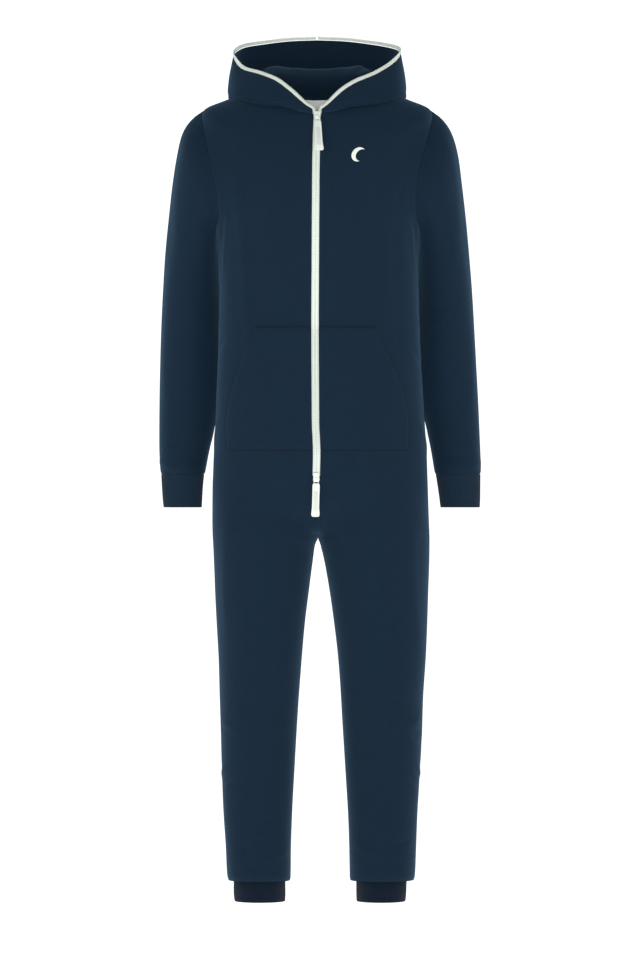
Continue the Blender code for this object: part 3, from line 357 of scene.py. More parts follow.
SLEEVE_FOLDS = columns(
    FOLD_NAMES,
    [
        # the head of the sleeve over the crease at the armpit
        (112, -0.146, 163, 0.040, 0.0085, 0.0024),
        (122, -0.170, 168, 0.036, 0.0090, -0.0018),
        (78, -0.118, 150, 0.040, 0.0120, -0.0010),
        # long soft folds down the upper arm
        (40, -0.230, 96, 0.090, 0.013, 0.0016),
        (92, -0.270, 88, 0.085, 0.012, -0.0013),
        (20, -0.350, 80, 0.060, 0.011, -0.0010),
        # the inside of the elbow
        (96, -0.402, 16, 0.026, 0.008, -0.0013),
        (120, -0.430, -18, 0.030, 0.009, 0.0011),
        (70, -0.452, 10, 0.028, 0.008, -0.0011),
        (30, -0.500, 92, 0.080, 0.012, 0.0013),
        # gathers over the cuff
        (60, -0.652, 14, 0.026, 0.0075, 0.0012),
        (104, -0.668, -12, 0.030, 0.0070, -0.0013),
        (84, -0.684, 4, 0.040, 0.0050, 0.0012),
        (130, -0.690, 8, 0.024, 0.0045, -0.0009),
        (28, -0.680, -8, 0.026, 0.0055, 0.0010),
        # the back of the arm
        (232, -0.180, 62, 0.050, 0.010, -0.0020),
        (250, -0.235, 74, 0.060, 0.011, 0.0016),
        (300, -0.260, 98, 0.080, 0.013, 0.0014),
        (262, -0.372, 10, 0.034, 0.009, -0.0020),
        (240, -0.400, -14, 0.034, 0.009, 0.0017),
        (284, -0.425, 12, 0.036, 0.009, -0.0018),
        (256, -0.455, -8, 0.034, 0.009, 0.0014),
        (300, -0.520, 84, 0.070, 0.012, 0.0013),
        (244, -0.640, 12, 0.030, 0.008, 0.0015),
        (290, -0.664, -10, 0.032, 0.007, -0.0014),
        (262, -0.684, 4, 0.040, 0.005, 0.0013),
    ],
)
# The same for the hood, with its ribs as turns and its steps from the neck seam to the rim as heights.
HOOD_PER_RIB, HOOD_PER_STEP = 0.032, 0.26
HOOD_FOLDS = {
    RIGHT: columns(
        FOLD_NAMES,
        [
            (9.2, 0.24, 74, 0.020, 0.0050, 0.0042),
            (8.5, 0.26, 98, 0.022, 0.0048, -0.0030),
            (7.9, 0.24, 82, 0.018, 0.0050, 0.0034),
            (11.2, 0.20, 70, 0.020, 0.0080, -0.0018),
            (3.1, 0.66, 12, 0.030, 0.0048, -0.0030),
            (5.1, 0.655, 3, 0.042, 0.0052, -0.0046),
            (8.4, 0.66, 8, 0.050, 0.0090, -0.0016),
            (11.0, 0.62, 0, 0.050, 0.0100, -0.0020),
        ],
    ),
    LEFT: columns(
        FOLD_NAMES,
        [
            (9.7, 0.23, 86, 0.024, 0.0070, 0.0060),
            (8.9, 0.26, 80, 0.022, 0.0060, -0.0034),
            (11.0, 0.21, 104, 0.020, 0.0080, -0.0018),
            (3.2, 0.67, -10, 0.032, 0.0050, -0.0026),
            (5.5, 0.66, -3, 0.036, 0.0056, -0.0030),
            (8.6, 0.66, -8, 0.050, 0.0090, -0.0016),
            (11.3, 0.62, 2, 0.050, 0.0100, -0.0019),
        ],
    ),
}

HOOD_RIBS = len(HOOD["neck"]) - 1
RIB_APART = 0.045  # metres between two ribs at the back of the hood
HOOD_CALM = (1.2, 0.08, 0.10)  # calm ribs beside the zip, and calm steps at the neck seam and the rim
NAPE_HOLLOW, NAPE_ROLL = 0.015, 0.007  # the hood over the nape: hollow by the seam, full at the crest
NAPE_RIB, NAPE_RIBS = 7.2, 2.2  # from which rib, and over how many, they grow
HOLLOW_STEP, HOLLOW_WIDE, ROLL_STEP, ROLL_WIDE = 0.085, 0.045, 0.19, 0.035
RIM_LEAN = math.radians(38)  # how far the zip leans back at the back of the rim
LEAN_RIB, LEAN_RIBS = 6, 3  # from which rib, and over how many, the zip comes to lean
RIM_WIDER, WIDER_RIB = 0.0006, 2  # how much more of the zip shows low on the hood's front, and at which rib
# Over what width, and how far, the cloth turns in at the rim and on both faces of the centre seam.
RIM_TURN, CENTRE_TURN, CENTRE_BACK = (0.002, 0.0007), (0.003, 0.0010), (0.003, -0.0007)

# Sliders with their pulls, as on the part: the row each stands at, how its pull leans to the side, how
# the shield and the pull tip back, all in degrees, and how far it is lifted.
SLIDERS = {"upper": (0.27, 4.0, 18.0, 23.0, 0.0011), "lower": (17.18, -1.5, 0.0, 1.0, 0.0013)}
SLIDER_LONG, SLIDER_WIDE, SLIDER_NOSE, SLIDER_DEEP = 0.0165, 0.0118, 0.0086, 0.0016
SHIELD_ROUND, SHIELD_BEVEL, CHIN = 0.0016, 0.00045, 0.0010
BRIDGE_REACH, BRIDGE_RISE, BRIDGE_THICK, BRIDGE_SUNK = 0.0032, 0.0041, 0.0011, 0.0002
BRIDGE_HALF, BRIDGE_BEVEL = 0.0012, 0.00025
CHAIN_PROUD = 0.0010
PIVOT = 0.0017
PLATE_UP = 0.0026  # how far each shield stands above its hinge
TAB_LONG, TAB_WIDE, TAB_DEEP = 0.0150, 0.0096, 0.0010
SLOT_HALF, SLOT_TOP, SLOT_FOOT = 0.0034, -0.0064, -0.0087
TAB_ROUND, EYE_ROUND, TAB_BEVEL = 0.0012, 0.0005, 0.0003
PULLER_TOP, PULLER_LONG, PULLER_WIDE, PULLER_END, PULLER_DEEP = 0.0093, 0.0590, 0.0130, 0.0152, 0.0028
PULLER_ROUND, PULLER_BEVEL = 0.0011, 0.0007
PATCH_DOWN, PATCH_UP, PATCH_SHARE, PATCH_ROUND, PATCH_BEVEL = 0.013, 0.010, 0.56, 0.0016, 0.00015
PATCH_SUNK, PATCH_PROUD = 0.0002, 0.0003

LABEL_WIDE, LABEL_TOP, LABEL_FOOT, LABEL_OFF, LABEL_DEEP = 0.056, 0.10, 1.0, 0.0036, 0.0006
LABEL_RAISED, LABEL_BOW = 0.0052, 0.0012
MOON_X, MOON_Z, MOON_RADIUS, MOON_CUT, MOON_SHIFT, MOON_HIGH = 0.0740, -0.1285, 0.0128, 0.0106, 0.0062, 0.0009
MOON_TILT, MOON_SUNK, MOON_THREADS = math.radians(-24), 0.0004, 0.16

SKY, FLOOR_Z, FLOOR_GLOW, BACKDROP = 0.20, -1.62, 0.95, (0.93, 0.93, 0.93)
LENS, SENSOR, VIEW_FROM = 197.3, 36, (0.0054, -9.5, -0.711)
LAMPS = {  # where each stands, what it looks at, its width and height, and its watts
    "front": ((0.0, -6.0, -0.30), (0.0, 0.0, -0.30), 0.9, 0.3, 145.0),
    "near": ((0.0, -1.25, -0.56), (0.0, 0.0, -0.56), 0.6, 0.7, 3.6),
    "left": ((-1.95, -0.75, 0.40), (0.0, 0.0, -0.50), 1.0, 2.0, 23.0),
    "right": ((1.95, -0.75, 0.40), (0.0, 0.0, -0.50), 1.0, 2.0, 21.0),
}


# ---------------------------------------------------------------- forms
def spline(p0, p1, p2, p3, part):
    """The cubic through p1 and p2 whose slopes come from their neighbours, at a part of the way."""
    rise, bend = p2 - p0, 2 * p0 - 5 * p1 + 4 * p2 - p3
    twist = 3 * (p1 - p2) + p3 - p0
    return p1 + 0.5 * part * (rise + part * (bend + part * twist))


def smooth(table, at):
    """A column of a table at fractional rows, by the cubic through the four rows about each place."""
    at = np.clip(np.asarray(at, float), 0, len(table) - 1)
    first = np.minimum(at.astype(int), len(table) - 2)
    around = [table[np.clip(first + step, 0, len(table) - 1)] for step in (-1, 0, 1, 2)]
    return spline(*around, at - first)


def body(row, turn, side):
    """The outer face of the trunk and the legs. On the trunk x = mid + half width * sin(turn) and
    y = -depth * cos(turn), a little squared and filled out beside the armholes; a leg is an oval gone
    round twice as fast from its inseam. The leg column blends the two at the middle seams, and a
    slower S-curve of the height does away from them."""
    ring = {name: smooth(values, row) for name, values in RINGS.items()}
    outer = ring["left"] if side == LEFT else -ring["right"]
    inner = ring["in_left"] if side == LEFT else ring["in_right"]
    across = np.sin(turn + SQUARE * np.sin(2 * turn))
    facing = np.cos(turn - SQUARE * np.sin(2 * turn))
    depth = np.where(facing > 0, ring["front"], ring["back"])
    drop = np.where(facing > 0, ring["front_z"], ring["back_z"]) - ring["side_z"]
    height = ring["side_z"] + drop * facing**2
    set_in = np.where(facing > 0, armhole_turn(row, "front"), armhole_turn(row, "back"))
    from_arm = np.abs(math.pi / 2 - turn) - set_in
    fill = ARMHOLE_FILL * set_in / FULL_SET_IN * np.clip(1 - from_arm / FILL_REACH, 0, 1) ** 2
    forth = -depth * facing - np.sign(facing) * fill
    trunk = np.stack(np.broadcast_arrays(ring["mid"] + (outer - ring["mid"]) * across, forth, height), -1)
    swing = np.sin(2 * turn)
    reach = np.where(swing > 0, ring["front"], ring["back"])
    halfway, half = (outer + inner) / 2, (outer - inner) / 2
    level = ring["side_z"] + 0 * swing
    tube = np.stack(np.broadcast_arrays(halfway - half * np.cos(2 * turn), -reach * swing, level), -1)
    slow = np.clip((LEG_FROM - ring["side_z"]) / LEG_OVER, 0, 1)
    slow = slow**2 * (3 - 2 * slow)
    middle = np.exp(-((np.sin(turn) / MIDDLE_REACH) ** 2))
    leg = (middle * np.clip(ring["leg"], 0, 1) + (1 - middle) * slow)[..., None]
    return (1 - leg) * trunk + leg * tube


def turn_at(row, x, side):
    """The turn at which the trunk's ring reaches an x: the inverse sine, with the squaring taken off
    again by a few rounds of substitution."""
    outer = smooth(RINGS["left"], row) if side == LEFT else -smooth(RINGS["right"], row)
    mid = smooth(RINGS["mid"], row)
    plain = np.arcsin(np.clip((x - mid) / (outer - mid), -1, 1))
    turn = plain
    for _ in range(SQUARING_ROUNDS):
        turn = plain - SQUARE * np.sin(2 * turn)
    return turn


def armhole_turn(row, face):
    """How far, in radians, the armhole edge stands off the side line at a ring."""
    inside = (row >= SHOULDER_RING) & (row <= ARMPIT_RING)
    return np.where(inside, np.maximum(smooth(np.radians(ARMHOLE[face]), row - SHOULDER_RING), 0), 0)


def armhole(turn, side):
    """The armhole edge, from the shoulder's tip round the front to the armpit and back."""
    way = np.mod(turn, 2 * math.pi) / math.pi
    forward = way <= 1
    row = SHOULDER_RING + (ARMPIT_RING - SHOULDER_RING) * np.where(forward, way, 2 - way)
    set_in = np.where(forward, armhole_turn(row, "front"), -armhole_turn(row, "back"))
    return body(row, math.pi / 2 - set_in, side)


def sleeve(row, turn, side):
    """The outer face of a sleeve: an oval between its outer and its inner point, plus what is left
    of the armhole's shape, which fades with the square of the rows still to go."""
    ring = {name: smooth(values, row) for name, values in SLEEVE.items()}
    start = {name: values[0] for name, values in SLEEVE.items()}
    word = "left" if side == LEFT else "right"

    def oval(at):
        out_x, in_x = side * at["out_" + word], side * at["in_" + word]
        x = (out_x + in_x) / 2 + (out_x - in_x) / 2 * np.cos(turn)
        z = (at["out_z"] + at["in_z"]) / 2 + (at["out_z"] - at["in_z"]) / 2 * np.cos(turn)
        return np.stack(np.broadcast_arrays(x, at["middle"] - at["depth"] * np.sin(turn), z), -1)

    fade = np.clip(1 - row / SLEEVE_FADE + 0 * turn, 0, 1) ** 2
    return oval(ring) + fade[..., None] * (armhole(turn + 0 * row, side) - oval(start))


def hood(rib, step, side):
    """The outer face of half the hood: the smooth curve through six points of each rib, from the
    neck seam over its crest and down to its fold, then up the bulging wall to the rim."""
    rib, step = np.broadcast_arrays(rib, step)
    found = {name: smooth(values, rib) for name, values in HOOD.items()}
    up = np.array([0, 0, 1.0])
    neck = body(np.zeros(rib.shape), np.radians(found["neck"]), LEFT) + HOOD_LIFT * up
    fold = np.stack([found["fold_x"], found["fold_y"], found["fold_z"]], -1)
    edge_z = found["edge_z"] - (found["drop"] if side == RIGHT else 0)
    edge = np.stack([found["edge_x"], found["edge_y"], edge_z], -1)
    away = (fold - neck) * np.array([1, 1, 0])
    away /= np.linalg.norm(away, axis=-1, keepdims=True) + 1e-9
    lift, pull, bulge = (found[name][..., None] for name in ("lift", "pull", "bulge"))
    crest = (neck + fold) / 2 + lift * up - pull * away
    into = INTO_FOLD * fold + (1 - INTO_FOLD) * crest - INTO_BULGE * bulge * away
    outside = WALL_FOLD * fold + (1 - WALL_FOLD) * edge + bulge * away
    points = np.stack([neck, crest, into, fold, outside, edge])
    at = np.clip(step, 0, 1) * (len(points) - 1)
    first = np.minimum(at.astype(int), len(points) - 2)

    def pick(number):
        wanted = np.clip(number, 0, len(points) - 1)[None, ..., None]
        return np.take_along_axis(points, wanted, axis=0)[0]

    curve = spline(pick(first - 1), pick(first), pick(first + 1), pick(first + 2), (at - first)[..., None])
    return curve * np.array([side, 1, 1])


def outward(form, row, turn, side, flip=1, close=1e-3):
    """Unit normals of a form: the cross product of how it runs down and round at each point."""
    down = form(row + close, turn, side) - form(row - close, turn, side)
    around = form(row, turn + close, side) - form(row, turn - close, side)
    facing = np.cross(down, around) * side * flip
    return facing / (np.linalg.norm(facing, axis=-1, keepdims=True) + 1e-12)


# ---------------------------------------------------------------- relief
def folds(table, across, up, per_across=1.0, per_up=1.0):
    """The sum of a table's folds at points given by their place across and up. A fold's height falls
    off as a bell over its half width, with a fainter, wider bell of the other sign beside it, and
    as a flat-topped bell over its half length."""
    total = np.zeros(np.broadcast(across, up).shape)
    for turn, z, angle, long, wide, high in zip(*(table[name] for name in FOLD_NAMES.split())):
        u, v = (across - turn) * per_across, (up - z) * per_up
        tilt = math.radians(angle)
        ahead = (u * math.cos(tilt) + v * math.sin(tilt)) / long
        aside = (v * math.cos(tilt) - u * math.sin(tilt) + FOLD_BEND * long * ahead**2) / wide
        profile = np.exp(-(aside**2)) - BESIDE * np.exp(-((aside / BESIDE_WIDE) ** 2))
        total += high * profile * np.exp(-(ahead**4))
    return total


def unevenness(across, up):
    """A slow, slight rise and fall of the cloth: crossed sine waves, in radians for each metre."""
    slow = np.sin(31 * across + 1.3 * np.sin(9 * up)) * np.sin(11 * up + 0.7)
    cross = np.sin(19 * across - 14 * up + 0.4) + 0.6 * np.sin(47 * across + 23 * up)
    return UNEVEN_SLOW * slow + UNEVEN_CROSS * cross


def edge_turn(distance, roll=EDGE_ROLL, dip=EDGE_DIP):
    """How far a panel's edge turns in at a distance from it: the square of the way still to go."""
    near = np.clip(1 - distance / roll, 0, 1)
    return -dip * near**2


def stitched(distance, inset=TOPSTITCH_IN):
    """The soft groove that topstitching draws at a distance in from an edge."""
    return -STITCH_PULL * np.exp(-(((distance - inset) / STITCH_GROOVE) ** 2))


def body_relief(row, turn, side):
    """The height of the cloth over the plain form of the trunk and legs: its folds and waves, times
    shares that fall to nothing at the neck, round the armholes and at the hem."""
    z = body(row, turn, side)[..., 2]
    degrees = side * np.degrees(turn)
    made = folds(BODY_FOLDS, degrees, z, per_across=PER_DEGREE) + unevenness(degrees * PER_DEGREE, z)
    edge = np.where(turn < math.pi / 2, armhole_turn(row, "front"), armhole_turn(row, "back"))
    from_arm = np.abs(math.pi / 2 - turn) - edge
    above = np.clip((ARMPIT_RING + 1 - row) / CALM_RINGS, 0, 1)
    beside = above * np.clip(1 - from_arm / CALM_ARMHOLE, 0, 1)
    neck, hem = np.clip(row / CALM_RINGS, 0, 1), np.clip((HEM_RING - 1 - row) / CALM_RINGS, 0, 1)
    return made * neck * (1 - beside) * hem


def front_face(row, turn, side):
    """The fronts' finished outer face and its normals."""
    out = outward(body, row, turn, side)
    return body(row, turn, side) + body_relief(row, turn, side)[..., None] * out, out


# ---------------------------------------------------------------- meshes
def linked(name, data):
    """A mesh, a lamp or a camera as an object in the scene."""
    obj = bpy.data.objects.new(name, data)
    bpy.context.scene.collection.objects.link(obj)
    return obj


def mesh_object(name, points, faces, uv=None, sharp=35):
    """A smooth-shaded mesh with crisp edges over an angle, from arrays of points and triangles."""
    mesh = bpy.data.meshes.new(name)
    count = len(faces)
    mesh.vertices.add(len(points))
    mesh.vertices.foreach_set("co", np.ascontiguousarray(points, np.float32).ravel())
    mesh.loops.add(count * 3)
    mesh.loops.foreach_set("vertex_index", np.ascontiguousarray(faces, np.int32).ravel())
    mesh.polygons.add(count)
    mesh.polygons.foreach_set("loop_start", np.arange(0, count * 3, 3, dtype=np.int32))
    mesh.polygons.foreach_set("loop_total", np.full(count, 3, np.int32))
    mesh.update(calc_edges=True)
    mesh.validate()
    if uv is not None:
        layer = mesh.uv_layers.new(name="cloth")
        layer.data.foreach_set("uv", np.ascontiguousarray(uv[faces.ravel()], np.float32).ravel())
    mesh.shade_smooth()
    mesh.set_sharp_from_angle(angle=math.radians(sharp))
    return linked(name, mesh)


def grid_faces(rows, steps, ring=False):
    """Triangles over a grid of points, closed round its second direction for a ring."""
    index = np.arange(rows * steps).reshape(rows, steps)
    if ring:
        index = np.concatenate([index, index[:, :1]], axis=1)
    a, b, c, d = index[:-1, :-1], index[:-1, 1:], index[1:, 1:], index[1:, :-1]
    return index, np.concatenate([np.stack(corners, -1).reshape(-1, 3) for corners in ((a, b, c), (a, c, d))])


def fan(corners):
    """Triangles from the first corner of a closed outline to all its others."""
    rest = np.arange(1, corners - 1)
    return np.stack([0 * rest, rest, rest + 1], -1)


def outwards(points, faces):
    """The faces turned so that the closed mesh encloses a positive volume."""
    a, b, c = points[faces[:, 0]], points[faces[:, 1]], points[faces[:, 2]]
    return faces if (np.cross(a, b) * c).sum() > 0 else faces[:, ::-1]


def shell(name, outer, inner, ring=False):
    """A closed cloth wall between two grids of points, with the lengths along its outer grid as UV."""
    rows, steps = outer.shape[:2]
    index, halves = grid_faces(rows, steps, ring)
    count = rows * steps
    faces = [halves, halves[:, ::-1] + count]
    edges = [index[0], index[-1][::-1]]
    if not ring:
        edges += [index[::-1, 0], index[:, -1]]
    for edge in edges:
        e, f = edge[:-1], edge[1:]
        faces += [np.stack([f, e, e + count], -1), np.stack([f, e + count, f + count], -1)]
    points = np.concatenate([outer.reshape(-1, 3), inner.reshape(-1, 3)])
    faces = np.concatenate(faces)
    step = np.linalg.norm(np.diff(outer, axis=1, prepend=outer[:, :1]), axis=-1).cumsum(axis=1)
    fall = np.linalg.norm(np.diff(outer, axis=0, prepend=outer[:1]), axis=-1).mean(axis=1).cumsum()
    flat = np.stack([step, np.broadcast_to(fall[:, None], step.shape)], -1).reshape(-1, 2)
    return mesh_object(name, points, outwards(points, faces), np.concatenate([flat, flat]))


def edge_packed(count, width, inset=(0.0008, 0.0018, 0.0030, 0.0042)):
    """Places from 0 to 1 across a width: even inside, and closer together at both ends, where they
    stand at the given insets."""
    close = np.array(inset) / width
    clear = close[-1] * 1.6
    inner = np.linspace(0, 1, count)
    inner = inner[(inner > clear) & (inner < 1 - clear)]
    return np.concatenate([[0], close, inner, 1 - close[::-1], [1]])


def widths(face):
    """The length across each row of a grid of points."""
    return np.linalg.norm(np.diff(face, axis=1), axis=-1).sum(axis=1)[:, None]


def evenly(rings_z, first, last, spacing):
    """Fractional rows whose heights are evenly spaced: the rings' summed steps, inverted."""
    whole = np.linspace(first, last, 2000)
    z = smooth(rings_z, whole)
    run = np.concatenate([[0], np.abs(np.diff(z)).cumsum()])
    count = max(2, int(round(run[-1] / spacing)) + 1)
    return np.interp(np.linspace(0, run[-1], count), run, whole)


def swept(name, sections):
    """A closed solid through a row of closed sections, each end closed by a fan."""
    stations, corners = sections.shape[:2]
    index, faces = grid_faces(stations, corners, ring=True)
    points = sections.reshape(-1, 3)
    faces = np.concatenate([faces[:, ::-1], fan(corners)[:, ::-1], fan(corners) + index[-1, 0]])
    return mesh_object(name, points, outwards(points, faces))


def scattered(name, shape, shape_faces, centres, across, out, along, sharp=35):
    """Copies of one small mesh as one joined mesh: each point is the centre plus the shape's three
    coordinates along that copy's own three directions."""
    spread = (
        centres[:, None, :]
        + shape[None, :, 0:1] * across[:, None, :]
        + shape[None, :, 1:2] * out[:, None, :]
        + shape[None, :, 2:3] * along[:, None, :]
    )
    offsets = np.arange(len(centres)) * len(shape)
    faces = (shape_faces[None] + offsets[:, None, None]).reshape(-1, 3)
    handed = np.linalg.det(np.stack([across[0], out[0], along[0]])) > 0
    return mesh_object(name, spread.reshape(-1, 3), faces if handed else faces[:, ::-1], sharp=sharp)


def resampled(path, spacing, *others):
    """Points along a path at an even spacing, with other arrays taken at the same places."""
    run = np.concatenate([[0], np.linalg.norm(np.diff(path, axis=0), axis=1).cumsum()])
    at = np.arange(spacing / 2, run[-1], spacing)
    return [np.stack([np.interp(at, run, array[:, i]) for i in range(3)], -1) for array in (path, *others)]


def unit(array):
    """Vectors made one long."""
    return array / (np.linalg.norm(array, axis=-1, keepdims=True) + 1e-12)


def rounded_bar(length, width, height, around=6, along=4):
    """A low rounded bar: an ellipse whose radius follows the fourth power of the way to both ends."""
    place = np.cos(np.linspace(math.pi, 0, along))
    girth = np.sqrt(np.clip(1 - place**4, 0.02, 1))[:, None]
    angle = np.linspace(0, 2 * math.pi, around, endpoint=False)
    x, y = width / 2 * girth * np.cos(angle), height * girth * np.sin(angle)
    points = np.stack([x, y, np.broadcast_to((place * length / 2)[:, None], x.shape)], -1).reshape(-1, 3)
    index, faces = grid_faces(along, around, ring=True)
    faces = np.concatenate([faces[:, ::-1], fan(around)[:, ::-1], fan(around) + index[-1, 0]])
    return points, outwards(points, faces)


# ---------------------------------------------------------------- cloth pieces
def zip_gap(row, side):
    """The turn where a front begins: half the zip's show from the middle down to the zip's foot,
    closing to the seam over the next ring."""
    mid = smooth(RINGS["mid"], row)
    close = np.clip((row - ZIP_FOOT - ZIP_CLOSES) / CLOSING, 0, 1)
    shown = ZIP_SHOWN * (1 - close) ** 1.5
    turn = np.abs(turn_at(np.minimum(row, ZIP_FOOT + 1), mid + side * shown, side))
    return np.maximum(turn, SEAM_TURN)


def meet(face, row, column, turn, side):
    """The middle seam between the zip's foot and the crotch, brought together: the edge's x becomes
    the middle line's, with a hair's overlap."""
    joined = ((row > ZIP_FOOT + CLOSING) & (row < CROTCH_RING + 0.2))[:, 0]
    middle = body(row, np.full(row.shape, turn), side)[:, 0, 0]
    face[joined, column, 0] = middle[joined] - side * OVERLAP
    return face


def panel_rows():
    """Rows down a front or a back: close together at the neck seam, then evenly spaced to the hem."""
    return np.concatenate([SEAM_ROWS, evenly(RINGS["side_z"], 0.2, HEM_RING, GRID)])[:, None]


def front(side, word):
    """One front: the body's form from the zip to the side seam and the armhole."""
    row = panel_rows()
    start, end = zip_gap(row, side), math.pi / 2 - SEAM_TURN - armhole_turn(row, "front")
    share = edge_packed(FRONT_STEPS, PANEL_WIDE)[None, :]
    face, out = front_face(row, start + (end - start) * share, side)
    from_zip, from_side = share * widths(face), (1 - share) * widths(face)
    zipped = np.clip(ZIP_FOOT + 0.3 - row, 0, 1)
    lower = edge_turn(from_zip) + edge_turn(from_side) + stitched(from_zip) * zipped
    face = meet(face + lower[..., None] * out, row, 0, 0.0, side)
    obj = shell(f"cloth_front_{word}", face, face - CLOTH * out)
    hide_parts(f"front_{word}")
    return obj


def back(side, word):
    """One back: the body's form from the side seam to the centre back seam."""
    row = panel_rows()
    start, end = math.pi / 2 + SEAM_TURN + armhole_turn(row, "back"), math.pi - SEAM_TURN
    share = edge_packed(BACK_STEPS, PANEL_WIDE)[None, :]
    face, out = front_face(row, start + (end - start) * share, side)
    lower = edge_turn(share * widths(face)) + edge_turn((1 - share) * widths(face))
    face = meet(face + lower[..., None] * out, row, -1, math.pi, side)
    obj = shell(f"cloth_back_{word}", face, face - CLOTH * out)
    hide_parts(f"back_{word}")
    return obj


def under_pocket(row, share, side, word, wider=0.0):
    """The front's face under a pocket and its normals, at a share of the way from the zip to the
    pocket's outer edge."""
    start = zip_gap(row, side)
    end = turn_at(row, side * (smooth(POCKET[word], row - POCKET_TOP) + wider), side)
    return front_face(row, start + (end - start) * share, side)


def pocket_rows():
    """Rows down a pocket, closer together at its top and its foot, and the pocket's height."""
    even = evenly(RINGS["side_z"], POCKET_TOP, POCKET_FOOT, FINE_GRID)
    high = abs(smooth(RINGS["side_z"], POCKET_TOP) - smooth(RINGS["side_z"], POCKET_FOOT))
    return np.interp(edge_packed(len(even), high), np.linspace(0, 1, len(even)), even)[:, None], high


def pocket(side, word):
    """Half of the kangaroo pocket, lying on its front: the front's face moved out, with its sewn
    edges pulled down and its slanted hand edge standing a little free."""
    row, _ = pocket_rows()
    share = edge_packed(POCKET_STEPS, POCKET_WIDE)[None, :]
    face, out = under_pocket(row, share, side, word)
    down = np.linalg.norm(np.diff(face, axis=0), axis=-1).mean(axis=1).cumsum()
    down = np.concatenate([[0], down])[:, None] + 0 * share
    slant = np.clip((SLANT_FOOT - row) / SLANT_RINGS, 0, 1)
    from_zip, from_edge = share * widths(face), (1 - share) * widths(face)
    edges = (from_zip, from_edge, down, down[-1] - down)
    lower = sum(edge_turn(distance) for distance in edges)
    lower += stitched(from_edge) * (1 - slant) + stitched(from_edge, SLANT_HEM) * slant
    lower += sum(stitched(distance) for distance in (down, down[-1] - down, from_zip))
    opening = np.sin(math.pi * (row - POCKET_TOP) / 3).clip(0)
    lower += slant * SLANT_FREE * np.exp(-((from_edge / FREE_REACH) ** 2)) * opening
    outer = face + (SEAM + CLOTH + POCKET_OFF + lower)[..., None] * out
    obj = shell(f"cloth_pocket_{word}", outer, face + SEAM * POCKET_LOW * out)
    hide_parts(f"pocket_{word}")
    return obj


def raised(face, out, height):
    """A line of points moved out of its face by a height, and the normals along it."""
    return face[:, 0] + height * out[:, 0], out[:, 0]


def pocket_stitching(side, word, count=160):
    """The stitching along a pocket's top, foot, hand opening and side, as lines with their normals."""
    row, high = pocket_rows()
    height = SEAM + CLOTH + POCKET_OFF - STITCH_PULL
    along = np.linspace(0.03, 0.975, count)[:, None]
    lines = []
    for place in (TOPSTITCH_IN / high, 1 - TOPSTITCH_IN / high):
        level = np.full((count, 1), np.interp(place, np.linspace(0, 1, len(row)), row[:, 0]))
        lines.append(raised(*under_pocket(level, along, side, word), height))
    for low, top, inset in ((11.1, 13.9, SLANT_HEM), (14.05, 15.9, TOPSTITCH_IN)):
        down = np.linspace(low, top, count)[:, None]
        lines.append(raised(*under_pocket(down, 1, side, word, -inset), height))
    return lines


def pocket_painted_shadow(side, word, across=90, down=110):
    """Painted shadow along a pocket's top, foot and outer edge: the paths of its near-black bars, as lines.
    """
    along = np.linspace(0.01, 1, across)[:, None]
    top, foot = np.full((across, 1), POCKET_TOP - 0.012), np.full((across, 1), POCKET_FOOT + 0.012)
    outer = np.linspace(POCKET_TOP, POCKET_FOOT, down)[:, None]
    routes = ((top, along), (foot, along), (outer, 1))
    return [raised(*under_pocket(row, share, side, word, SHADOW_LINE_OFF), SHADOW_LINE_UP) for row, share in routes]


def sleeve_relief(row, turn, side):
    """The height of a sleeve's cloth over its plain form: folds and waves that are calm at both ends
    and along the inside, waves gathered above the cuff, and its edge turned in at the armhole."""
    middle = (SLEEVE["out_z"] + SLEEVE["in_z"]) / 2
    degrees, z, to_cuff = np.degrees(turn), smooth(middle, row) + 0 * turn, SLEEVE_END - row
    made = sum(folds(SLEEVE_FOLDS, degrees + shift, z, SLEEVE_PER_DEGREE) for shift in (-360, 0, 360))
    made += unevenness(side * degrees * SLEEVE_PER_DEGREE + 0.3, z)
    calm = np.clip(row / SLEEVE_CALM, 0, 1) * np.clip(to_cuff / CUFF_CALM, 0, 1)
    inside = 1 - INSIDE_CALM * np.exp(-(((degrees - 180) / INSIDE_REACH) ** 2))
    gather = GATHER_HIGH * np.sin(turn * GATHERS + 2 * np.sin(turn * 3))
    gather = gather * np.exp(-((to_cuff / GATHER_RINGS) ** 2)) * np.clip(to_cuff / GATHER_FADE, 0, 1)
    return made * calm * inside + gather + edge_turn(row * RING_STEP + 0 * turn, dip=SLEEVE_DIP)


